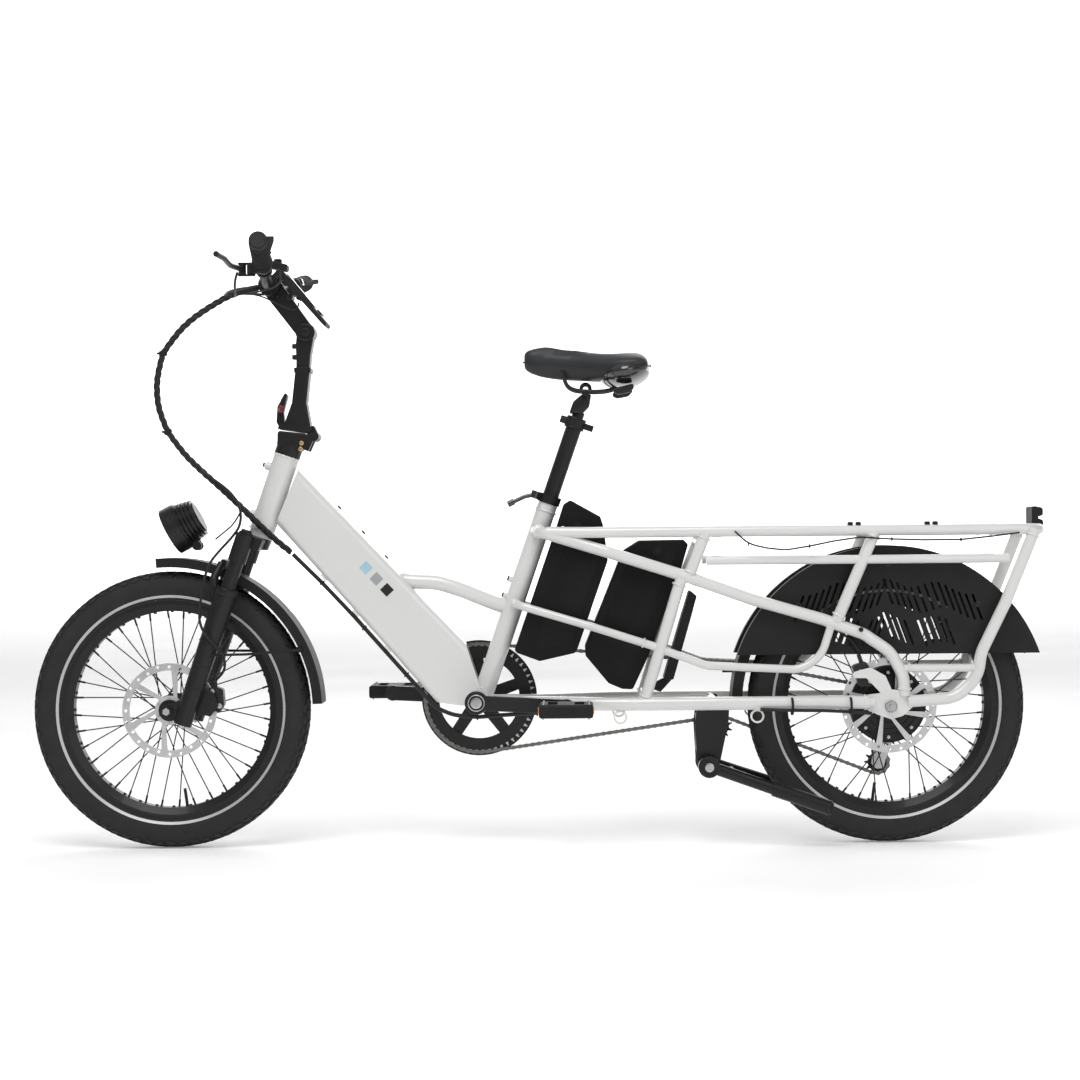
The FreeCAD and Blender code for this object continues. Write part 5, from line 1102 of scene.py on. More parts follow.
    def crank_details(self) -> None:
        """Add crank bolts, facets, spider bolts and pedal cages with reflectors."""
        bench = Bench()
        centre = AT(586.0, 0, 277.5)
        for side in (-1, 1):
            bench.socket_screw((centre[0], 0.0862 * side, centre[2]), (0, side, 0), 0.0105, 0.004, 1)
            bench.hoop((centre[0], 0.0862 * side, centre[2]), (0, 1, 0), 0.0150, 0.0012, 40, tint=1)
        for i in range(5):
            angle = math.radians(72 * i + 20)
            place = (centre[0] + 0.088 * math.cos(angle), 0.0590, centre[2] + 0.088 * math.sin(angle))
            bench.socket_screw(place, (0, 1, 0), 0.0052, 0.0025, 1)
        bench.finish("crank_details", "crank", [Finishes.satin, Finishes.steel], "steel")
        for side, node in ((-1, "left_pedal"), (1, "right_pedal")):
            low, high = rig.box(node)
            middle = (low + high) / 2
            cage = Bench()
            for end in (-1, 1):
                cage.block((middle.x + end * 0.0492, middle.y, middle.z), (0.0055, 0.050, 0.0125), None,
                           0.0012, 1)
                for k in range(4):
                    for face in (-1, 1):
                        foot = (middle.x + end * 0.042, middle.y + (k - 1.5) * 0.026,
                                middle.z + face * 0.0115)
                        top = (foot[0], foot[1], middle.z + face * 0.0150)
                        cage.peg(foot, top, 0.0021, 0.0015, 8)
            cage.finish(node + "_reflectors", node, [Finishes.steel, Finishes.amber], "black_plastic")

    def build(self) -> None:
        """Make the drive's details."""
        self.links()
        wheels = self.circles()
        self.teeth("chainring_teeth", "crank", wheels[0], self.ring_teeth, self.chain_y, Finishes.steel)
        self.teeth("idler_teeth", "chain_idler", wheels[1], self.idler_teeth, self.chain_y, Finishes.plastic)
        self.teeth("lower_jockey_teeth", "jockey_lower", wheels[2], self.jockey_teeth, self.chain_y,
                   Finishes.plastic)
        self.teeth("upper_jockey_teeth", "jockey_upper", wheels[3], self.jockey_teeth, self.chain_y,
                   Finishes.plastic)
        cog = self.middle("cassette")
        for i, teeth in enumerate((11, 13, 15, 18, 21, 24)):
            circle = Circle(cog.x, cog.z, self.pitch_radius(teeth) + (0.0006 if i == 0 else 0.0012), 1)
            self.teeth(f"cassette_teeth_{teeth}", "cassette", circle, teeth, self.chain_y - 0.0044 * i,
                       Finishes.chain)
        self.crank_details()
        LOG.info("drive")


# ---------------------------------------------------------------- seat post
@dataclass
class SeatPost:
    """The stepped post with its ring clamp, head clamp and the saddle's rails, in millimetres."""

    foot: Vector = field(default_factory=lambda: Vector((592.0, 0.0, 277.0)))
    up: Vector = field(default_factory=lambda: Vector((0.3294, 0.0, 0.9442)))
    back: Vector = field(default_factory=lambda: Vector((0.9442, 0.0, -0.3294)))
    radius: float = 15.45
    shaft_radius: float = 11.5
    step_height: float = 556.0
    top_height: float = 584.0
    rail: tuple = ((752, 906), (757, 886), (766, 873), (786, 867), (838, 866), (864, 878), (876, 900))

    def on_axis(self, height: float, behind: float = 0.0, y: float = 0.0) -> Point:
        """A point beside the post's axis, in metres."""
        spot = self.foot + self.up * height + self.back * behind
        return AT(spot.x, y, spot.z)

    def build(self) -> None:
        """Make the post."""
        bench = Bench()
        wide, thin, step = self.radius / 1000, self.shaft_radius / 1000, self.step_height
        bench.peg(self.on_axis(150.0), self.on_axis(step), wide, wide, 48)
        bench.peg(self.on_axis(step - 1.0), self.on_axis(step + 9.0), wide, thin, 48)
        bench.peg(self.on_axis(step + 8.0), self.on_axis(self.top_height), thin, thin, 40)
        bench.peg(self.on_axis(step - 6.0), self.on_axis(step + 16.0), wide + 0.0035, wide + 0.003, 48)
        bench.hoop(self.on_axis(step - 4.0), self.up, wide + 0.0035, 0.0009, 48)
        bench.hoop(self.on_axis(step + 14.0), self.up, wide + 0.0031, 0.0009, 48)
        bench.peg(self.on_axis(step + 5.0, -13.0), self.on_axis(step + 5.0, -30.0), 0.0078, 0.0070, 20)
        turn = Matrix.Rotation(math.radians(19.23), 3, "Y")
        bench.block(self.on_axis(step + 5.0, 24.0), (0.024, 0.013, 0.012), turn, 0.0014)
        bench.peg(self.on_axis(step + 5.0, 31.0, -9.0), self.on_axis(step + 5.0, 31.0, 9.0), 0.0042, 0.0042,
                  20)
        head = PLACE.flat([(765, 826), (773, 848), (790, 862), (808, 861), (804, 838), (790, 824)])
        bench.slab(head, -0.0165, 0.0165, 0.003)
        bench.peg(AT(797, -27, 862), AT(797, 27, 862), 0.006, 0.006, 24)
        bench.hoop(AT(797, -12, 872.5), (0, 1, 0), 0.0085, 0.0034, 40, flat=1.2)
        bench.hoop(AT(797, 12, 872.5), (0, 1, 0), 0.0085, 0.0034, 40, flat=1.2)
        for y in (-22.0, 22.0):
            bench.mesh.from_mesh(tube_mesh("saddle_rail", [AT(x, y, z) for x, z in self.rail], 0.0035, 6))
        post = bench.finish("seat_post_assembly", "seat", [Finishes.satin], "black_paint")
        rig.replaces(post, "seatpost")
        LOG.info("seat post")


# ---------------------------------------------------------------- saddle
@dataclass
class Saddle:
    """The padded seat, its glossy tail cover and bumpers."""

    voxel: float = 0.005
    pressure: float = 4.0
    cap: float = 0.006
    shrink: float = 0.972
    frames: int = 20

    def pad_copy(self, node: bpy.types.Object) -> bpy.types.Object:
        """Copy the solid saddle, merge it and make it slightly smaller.

        Args:
            node: The solid saddle.

        Returns:
            The pad, ready to swell.
        """
        shape = bmesh.new()
        shape.from_mesh(node.data)
        bmesh.ops.remove_doubles(shape, verts=list(shape.verts), dist=0.00002)
        low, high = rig.box("saddle")
        middle = (low + high) / 2
        bmesh.ops.scale(shape, vec=(self.shrink,) * 3, space=Matrix.Translation(-middle),
                        verts=list(shape.verts))
        bmesh.ops.recalc_face_normals(shape, faces=list(shape.faces))
        data = bpy.data.meshes.new("saddle_pad")
        shape.to_mesh(data)
        shape.free()
        pad = bpy.data.objects.new("saddle_pad", data)
        bpy.context.scene.collection.objects.link(pad)
        return pad

    def apply(self, pad: bpy.types.Object) -> None:
        """Apply every modifier of the pad."""
        graph = bpy.context.evaluated_depsgraph_get()
        data = bpy.data.meshes.new_from_object(pad.evaluated_get(graph))
        pad.modifiers.clear()
        pad.data = data

    def swell(self, pad: bpy.types.Object) -> None:
        """Blow the pad up as cloth and cap how far it moves.

        Args:
            pad: The remeshed pad.
        """
        start = [v.co.copy() for v in pad.data.vertices]
        cloth = pad.modifiers.new("pad", "CLOTH")
        cloth.settings.use_pressure = True
        cloth.settings.uniform_pressure_force = self.pressure
        cloth.settings.quality = 4
        cloth.settings.effector_weights.gravity = 0.0
        scene = bpy.context.scene
        for step in range(1, self.frames + 1):
            scene.frame_set(step)
        self.apply(pad)
        scene.frame_set(1)
        for vert, home in zip(pad.data.vertices, start):
            move = vert.co - home
            if move.length > self.cap:
                vert.co = home + move.normalized() * self.cap

    def sculpt(self, pad: bpy.types.Object) -> None:
        """Press the middle channel and the seam grooves into the pad."""
        low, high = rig.box("saddle")
        length = high.x - low.x
        for vert in pad.data.vertices:
            share = (vert.co.x - low.x) / length
            middle_z = (low.z + high.z) / 2
            if vert.co.z > middle_z:
                fade = max(0.0, 1.0 - (vert.co.y / 0.013) ** 2)
                window = max(0.0, min(1.0, (share - 0.22) * 5)) * max(0.0, min(1.0, (0.93 - share) * 6))
                vert.co.z -= 0.0045 * fade * window
                groove = abs(abs(vert.co.y) - (0.017 + 0.050 * max(0.0, share - 0.35)))
                if groove < 0.0035 and 0.1 < share < 0.92:
                    vert.co.z -= 0.0013 * (1 - groove / 0.0035)

    def seam(self) -> None:
        """Lay a welted seam round the pad's side."""
        stations = ((677, 6, 925), (690, 20.5, 921), (712, 26, 919), (745, 31, 914), (780, 44.5, 908),
                    (815, 65.5, 904), (850, 85, 903), (885, 93, 906), (908, 88, 910), (919, 66, 913),
                    (922, 30, 914))
        right = [AT(x, y, z) for x, y, z in stations]
        left = [AT(x, -y, z) for x, y, z in reversed(stations)]
        cable("saddle_seam", right + left + right[:1], 0.0012, Finishes.rubber, "seat")

    def tail(self) -> None:
        """Make the glossy cover under the rear half and the two bumpers."""
        bench = Bench()
        ball = bmesh.ops.create_icosphere(bench.mesh, subdivisions=5, radius=1.0)
        stretch = Matrix.Diagonal((0.0505, 0.0975, 0.0295, 1.0))
        lean = Matrix.Rotation(math.radians(-9), 4, "Y")
        bmesh.ops.transform(bench.mesh, matrix=Matrix.Translation(AT(873, 0, 902)) @ lean @ stretch,
                            verts=ball["verts"])
        for side in (-1, 1):
            bump = PLACE.flat([(851, 869.5), (887, 878), (889, 870), (880, 861), (858, 857), (849, 862)])
            low, high = (50.0, 72.0) if side > 0 else (-72.0, -50.0)
            bench.slab(bump, low / 1000, high / 1000, 0.003, 1)
        bench.finish("saddle_tail_cover", "seat", [Finishes.gloss, Finishes.rubber], "black_plastic")

    def build(self, node: bpy.types.Object) -> None:
        """Make the saddle.

        Args:
            node: The solid saddle.
        """
        pad = self.pad_copy(node)
        remesh = pad.modifiers.new("cells", "REMESH")
        remesh.mode = "VOXEL"
        remesh.voxel_size = self.voxel
        self.apply(pad)
        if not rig.quick():
            self.swell(pad)
        self.sculpt(pad)
        smooth = pad.modifiers.new("ease", "SMOOTH")
        smooth.factor = 0.5
        smooth.iterations = 3
        rounding = pad.modifiers.new("rounding", "SUBSURF")
        rounding.levels = 1
        rounding.render_levels = 1
        self.apply(pad)
        for polygon in pad.data.polygons:
            polygon.use_smooth = True
        pad.data.materials.clear()
        pad.data.materials.append(Finishes.vinyl.build())
        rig.ride(pad, "seat")
        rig.replaces(pad, "saddle")
        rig.padded(pad, fill=0.8)
        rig.slot(pad, "saddle_cover")
        self.seam()
        self.tail()
        LOG.info("saddle")


# ---------------------------------------------------------------- cables
@dataclass
class Cables:
    """The bundle from the bar to the frame, cut at each joint, with the hose and the lamp's wire."""

    radius: float = 0.0066
    hose: float = 0.0025
    wire: float = 0.0016
    upper: tuple = ((166, -24, 1068), (131, -42, 1058), (92.5, -44, 1037), (48, -44, 1008), (16, -43, 976),
                    (-6, -42, 944))
    middle: tuple = ((-6, -42, 944), (-17, -42, 905), (-18.5, -42, 866), (-13, -42, 830), (2, -42, 795))
    lower: tuple = ((2, -42, 795), (27, -42, 759), (58, -42, 727), (101, -41, 688.5), (139, -38, 651.7),
                    (173.5, -32, 616), (206, -20, 584), (231, -15, 564))
    brake: tuple = ((66, -51, 720), (96, -53, 700), (124, -56, 678), (142, -60, 650), (143, -66, 617),
                    (128, -74, 594), (106, -82, 570), (86, -90, 545), (76, -95, 510), (70, -96, 470),
                    (67, -97, 430), (90, -98, 398), (112, -91, 374), (113, -74, 348), (101, -56, 331),
                    (91, -48, 323.5))
    lamp: tuple = ((86, -12, 590), (104, -14, 604), (124, -20, 620), (136, -28, 640))

    def route(self, corners: Sequence[Point]) -> list[Point]:
        """Corners in metres."""
        return [AT(*corner) for corner in corners]

    def join(self, name: str, corners: Sequence[Point], radius: float, bodies: tuple[str, str],
             span: tuple[Point, Point], twisted: bool = False) -> bpy.types.Object:
        """Make one cable that bends between two bodies.

        Args:
            name: Piece name.
            corners: Its route in millimetres.
            radius: Its radius.
            bodies: The two bodies.
            span: Where the change from one to the other starts and ends.
            twisted: Wind it from strands.

        Returns:
            The piece.
        """
        piece = cable(name, self.route(corners), radius, Finishes.rubber, None, twisted)
        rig.blend(piece, bodies[0], bodies[1], AT(*span[0]), AT(*span[1]))
        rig.slot(piece, "rubber")
        return piece

    def build(self) -> None:
        """Make the cables."""
        top = self.join("bundle_upper", self.upper, self.radius, ("bars", "mast"),
                        (self.upper[1], self.upper[-1]), True)
        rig.replaces(top, "cable_bundle")
        self.join("bundle_middle", self.middle, self.radius, ("mast", "steering"),
                  (self.middle[0], self.middle[-1]), True)
        self.join("bundle_lower", self.lower, self.radius, ("steering", "frame"),
                  (self.lower[1], self.lower[-2]), True)
        self.join("front_brake_hose", self.brake, self.hose, ("steering", "fork_slider"),
                  (self.brake[2], self.brake[-2]))
        self.join("lamp_wire", self.lamp, self.wire, ("fork_slider", "steering"),
                  (self.lamp[0], self.lamp[-1]))
        levers = (
            ("near_brake_hose", ((160, -196, 1078), (155, -186, 1070), (150, -164, 1058), (146, -130, 1050),
                                 (140, -95, 1047), (136, -66, 1050), (134, -45, 1054)), 0.0024),
            ("far_brake_hose", ((160, 196, 1080), (142, 190, 1080), (122, 160, 1078), (108, 105, 1072),
                                (102, 40, 1062), (108, -10, 1054), (118, -36, 1048)), 0.0024),
            ("throttle_wire", ((234, -176, 1088), (236, -160, 1072), (226, -130, 1062), (200, -95, 1058),
                               (172, -60, 1056), (150, -46, 1055)), 0.0016),
            ("shift_cable", ((214, 128, 1082), (180, 104, 1084), (140, 76, 1082), (112, 40, 1072),
                             (104, 0, 1060), (112, -30, 1050)), 0.0022),
            ("display_wire", ((250, -20, 1040), (252, -40, 1026), (236, -52, 1024), (206, -52, 1040),
                              (176, -48, 1054), (150, -44, 1056)), 0.0014),
        )
        for name, corners, radius in levers:
            cable(name, self.route(corners), radius, Finishes.rubber, "bars")
        sleeve = ((172, -21, 1069.5), (150, -33, 1064), (128, -42, 1056))
        cable("bundle_sleeve", self.route(sleeve), 0.0066, Finishes.satin, "bars")
        for name, body, x, z, slope in (("upper_bundle_tie", "mast", -6, 944, 0.16),
                                        ("lower_bundle_tie", "steering", 2, 795, -0.5)):
            bench = Bench()
            bench.hoop(AT(x, -42, z), (slope, 0, 1), 0.0068, 0.0016, 28, flat=2.4)
            bench.block(AT(x - 9.0, -42, z), (0.005, 0.005, 0.004), None, 0.0008)
            bench.finish(name, body, [Finishes.plastic], "black_plastic")
        LOG.info("cables")


# ---------------------------------------------------------------- cockpit
@dataclass
class Cockpit:
    """Bar, stem, mast and lever details."""

    def screens(self) -> None:
        """Add the display's glass and its buttons."""
        bench = Bench()
        a, b = Vector(AT(222.5, 0, 1102.2)), Vector(AT(304.5, 0, 1002.5))
        along = (b - a).normalized()
        up = Vector((-along.z, 0, along.x)) * -1
        if up.z < 0:
            up = -up
        turn = Matrix((along, Vector((0, 1, 0)), up)).transposed()
        centre = a + along * 0.050 + up * 0.0009
        bench.block(tuple(centre), (0.078, 0.060, 0.0022), turn, 0.0009, 0)
        for i in (-1, 0, 1):
            spot = a + along * 0.104 + up * 0.0012
            bench.block((spot.x, 0.017 * i, spot.z), (0.011, 0.012, 0.0028), turn, 0.0011, 1)
        bench.finish("display_glass", "bars", [Finishes.screen, Finishes.rubber], "black_plastic")

    def fasteners(self) -> None:
        """Add the screws of the stem, the mast and the bar clamp, and the latch's catch."""
        bench = Bench()
        for x, z in ((254.0, 772.0), (252.0, 761.0)):
            bench.socket_screw(AT(x, -24.6, z), (0, -1, 0), 0.0042, 0.0024, 0)
        bench.finish("stem_base_screws", "steering", [Finishes.brass], "steel")
        bench = Bench()
        for z in (938.0, 959.0):
            bench.socket_screw(AT(238.0, 0, z), (-1, 0, 0), 0.0048, 0.0030, 0)
        for side in (-1, 1):
            bench.socket_screw(AT(262.0, 22 * side, 984.0), (0, side, 0), 0.0082, 0.0030, 0)
            bench.hoop(AT(262.0, 21 * side, 984.0), (0, 1, 0), 0.0150, 0.0011, 48, tint=1)
        bench.finish("mast_screws", "mast", [Finishes.dark, Finishes.satin], "steel")
        bench = Bench()
        for side in (-1, 1):
            bench.socket_screw(AT(232.0, 14.5 * side, 1052.0), (0, side, 0), 0.0062, 0.0032, 0)
            for x, z in ((181, 1093), (209, 1054)):
                out = (-0.7, 0, 0.7) if x < 190 else (0.7, 0, -0.7)
                bench.socket_screw(AT(x, 14.0 * side, z), out, 0.0036, 0.0030, 0)
        bench.finish("bar_clamp_screws", "bars", [Finishes.dark], "steel")
        bench = Bench()
        lean = Matrix.Rotation(math.radians(12), 3, "Y")
        bench.block(AT(214.0, 0, 838.0), (0.009, 0.0345, 0.014), lean, 0.002)
        for side in (-1, 1):
            bench.peg(AT(214.0, 17.0 * side, 838.0), AT(214.0, 19.0 * side, 838.0), 0.0042, 0.0036, 20)
        bench.finish("latch_catch", "latch_lever", [Finishes.red], "button_grey")

    def grips(self) -> None:
        """Add lock rings, end caps and finger ridges to the grips."""
        bench = Bench()
        for side in (-1, 1):
            inner, outer = Vector(AT(208.3, 212 * side, 1094.0)), Vector(AT(219.0, 343 * side, 1118.3))
            along = (outer - inner).normalized()
            for i in range(17):
                spot = inner + along * (0.020 + i * 0.0062)
                bench.hoop(tuple(spot), tuple(along), 0.0165, 0.0009, 28, flat=1.6)
            bench.peg(tuple(outer - along * 0.0035), tuple(outer + along * 0.0012), 0.0158, 0.0135, 28,
                      tint=1)
            bench.hoop(tuple(inner + along * 0.006), tuple(along), 0.0181, 0.0012, 28, tint=1)
        bench.finish("grip_ridges", "bars", [Finishes.grip, Finishes.dark], "rubber")

    def controls(self) -> None:
        """Add the lever clamps' screws, the pod's marks and the mode button's mark."""
        bench = Bench()
        for side in (-1, 1):
            bench.socket_screw(AT(183.0, 201.2 * side, 1079.0), (0, side, 0), 0.0036, 0.0022, 1)
        bench.block(AT(236.0, 150.0, 1100.0), (0.004, 0.026, 0.012), Matrix.Rotation(-0.35, 3, "Y"), 0.0012,
                    2)
        bench.finish("control_details", "bars", [Finishes.plastic, Finishes.dark, Finishes.screen], "steel")
        low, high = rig.box("mode_button")
        bench = Bench()
        bench.block(((low.x + high.x) / 2, (low.y + high.y) / 2, high.z + 0.0004), (0.0095, 0.0065, 0.0016),
                    None, 0.0006)
        bench.finish("mode_button_mark", "mode_button", [Finishes.label_grey], "button_grey")

    def build(self) -> None:
        """Make the cockpit."""
        self.screens()
        self.fasteners()
        self.grips()
        self.controls()
        LOG.info("cockpit")


# ---------------------------------------------------------------- frame
@dataclass
class FrameDetails:
    """Weld beads, bosses, clips and chips on the frame."""

    half: float = 78.0

    def welds(self) -> None:
        """Lay rippled beads where tubes meet."""
        bench = Bench()
        seat = Vector((0.3294, 0, 0.9442))
        column = Vector((0.3239, 0, 0.9461))
        spots = [
            ((653.0, 0, 452.5), (0.93, 0, -0.36), 15.3, 2.2),
            ((444.0, 0, 507.8), (0.99, 0, -0.1), 15.2, 2.0),
            ((588.0, 0, 303.0), seat, 19.6, 2.4),
            ((174.0, 0, 606.5), column, 24.6, 1.8),
            ((222.3, 0, 747.4), column, 24.6, 1.8),
            ((718.3, 0, 639.0), seat, 19.4, 1.7),
        ]
        for side in (-1, 1):
            wide = self.half * side
            rear = 73.0 * side
            spots += [
                ((970.0, wide, 497.0), (0.3, 0, 0.95), 11.8, 1.8),
                ((905.5, wide, 287.0), (0.3, 0, 0.95), 11.8, 1.8),
                ((1016.5, wide, 585.0), (0.36, 0, 0.93), 11.8, 1.8),
                ((992.0, wide, 521.0), (0.36, 0, 0.93), 11.8, 1.8),
                ((1336.0, wide, 585.0), (0.41, 0, 0.91), 11.8, 1.8),
                ((1271.0, wide, 437.0), (0.41, 0, 0.91), 11.8, 1.8),
                ((1637.0, wide, 585.5), (0.4, 0, 0.92), 11.8, 1.8),
                ((1254.5, wide, 414.0), (0.3, 0, 0.95), 8.4, 1.5),
                ((1403.0, rear, 336.0), (1, 0, 0), 8.1, 1.5),
                ((1523.0, rear, 336.0), (1, 0, 0), 8.1, 1.5),
                ((1394.0, rear, 297.0), (0, 0, 1), 11.8, 1.8),
                ((1318.0, 82 * side, 273.0), (1, 0, 0), 13.2, 1.8),
                ((706.5, 34 * side, 599.3), (0, 1, 0), 11.9, 1.8),
                ((660.0, 26 * side, 462.5), (0, 1, 0), 8.4, 1.5),
                ((902.0, wide, 388.0), (0.95, 0, -0.3), 8.3, 1.4),
                ((611.0, 32 * side, 273.0), (1, 0, 0), 13.2, 1.8),
            ]
        for centre, axis, radius, thick in spots:
            bench.hoop(AT(*centre), axis, radius / 1000, thick / 1000, 48, 0.22)
        for x in (1045.0, 1330.0, 1560.0):
            for side in (-1, 1):
                bench.hoop(AT(x, 68.0 * side, 595.0), (0, 1, 0), 0.0084, 0.0015, 30, 0.2)
        bench.finish("weld_beads", "frame", [Finishes.bead], "frame_paint")

    def small_parts(self) -> None:
        """Add the boss screws, clips, rail caps and cable ties."""
        bench = Bench()
        for x, z in ((321.6, 648.3), (367.3, 599.9), (411.0, 552.3)):
            bench.socket_screw(AT(x, 0, z), (0.727, 0, 0.686), 0.0048, 0.0028, 0)
        for up in (205.0, 238.0):
            x, z = 592.0 + 0.3294 * up - 0.9442 * 25, 277.0 + 0.9442 * up + 0.3294 * 25
            bench.socket_screw(AT(x, 0, z), (-0.9442, 0, 0.3294), 0.0046, 0.0028, 0)
        for up in (404.0, 500.0):
            x, z = 51.1 + 0.3239 * up - 0.9461 * 35.5, 247.5 + 0.9461 * up + 0.3239 * 35.5
            bench.socket_screw(AT(x, 0, z), (-0.9461, 0, 0.3239), 0.0044, 0.0026, 0)
        bench.socket_screw(AT(1670.2, 0, 597.0), (1, 0, 0), 0.0055, 0.0026, 0)
        for side in (-1, 1):
            for x, z in ((1311.0, 410.0), (874.0, 273.0)):
                bench.socket_screw(AT(x, (self.half + 10.6) * side, z), (0, side, 0), 0.0045, 0.0026, 0)
            bench.peg(AT(1367, 85 * side, 265), AT(1367, 93 * side, 265), 0.0095, 0.0095, 6, 0.0, 1)
            bench.peg(AT(1367, 92 * side, 265), AT(1367, 98 * side, 265), 0.0050, 0.0044, 20, 0.0, 1)
            bench.hoop(AT(1367, 85.5 * side, 265), (0, 1, 0), 0.0112, 0.0010, 36, tint=1)
        bench.socket_screw(AT(1312, -71.2, 329), (0, -1, 0), 0.0046, 0.0030, 1)
        bench.socket_screw(AT(1330, -71.2, 312), (0, -1, 0), 0.0046, 0.0030, 1)
        for side in (-1, 1):
            bench.socket_screw(AT(1025, 70 * side, 151), (0, side, 0), 0.0085, 0.0034, 1)
        bench.finish("frame_screws", "frame", [Finishes.dark, Finishes.steel], "steel")
        bench = Bench()
        for x, y, z in ((290, -15, 505), (370, -15, 418), (450, -15, 328), (585, -20, 246), (700, -32, 254)):
            bench.hoop(AT(x, y, z), (0.66, 0, -0.75) if x < 500 else (1, 0, 0), 0.0048, 0.0015, 20)
        for x in (1180, 1290):
            bench.hoop(AT(x, -91, 267), (1, 0, 0), 0.0155, 0.0012, 28, flat=2.0)
        for x, z in ((1100, 573), (1215, 568), (1370, 580), (1500, 578)):
            bench.hoop(AT(x, -94 if x < 1300 else -91, z), (1, 0, 0), 0.0030, 0.0012, 16)
        for x in (1301.0, 1446.0):
            for shift in (-7.5, 7.5):
                bench.block(AT(x + shift, -self.half, 609.5), (0.010, 0.013, 0.007), None, 0.0022)
        bench.finish("frame_clips", "frame", [Finishes.plastic], "black_plastic")

    def chips(self) -> None:
        """Lay three plain coloured chips on the down tube's near side."""
        bench = Bench()
        turn = Matrix.Rotation(math.radians(46.6), 3, "Y")
        start = Vector(AT(375.0, -27.15, 533.0))
        along = Vector((0.6863, 0, -0.7273))
        for i in range(3):
            centre = start + along * 0.0290 * i
            bench.block(tuple(centre), (0.0185, 0.0005, 0.0190), turn, 0.0, i)
        bench.finish("tube_chips", "frame", [Finishes.label_blue, Finishes.label_grey, Finishes.dark],
                     "frame_paint")

    def guards(self) -> None:
        """Add the mudguard's stay bolts."""
        bench = Bench()
        for side in (-1, 1):
            for x, z in ((1197, 455), (1367, 533), (1537, 455)):
                bench.socket_screw(AT(x, 55.0 * side, z), (0, side, 0), 0.0055, 0.0024, 1)
        bench.finish("guard_details", "frame", [Finishes.plastic, Finishes.dark], "black_plastic")

    def build(self) -> None:
        """Make the frame's details."""
        self.welds()
        self.small_parts()
        self.chips()
        self.guards()
        LOG.info("frame details")


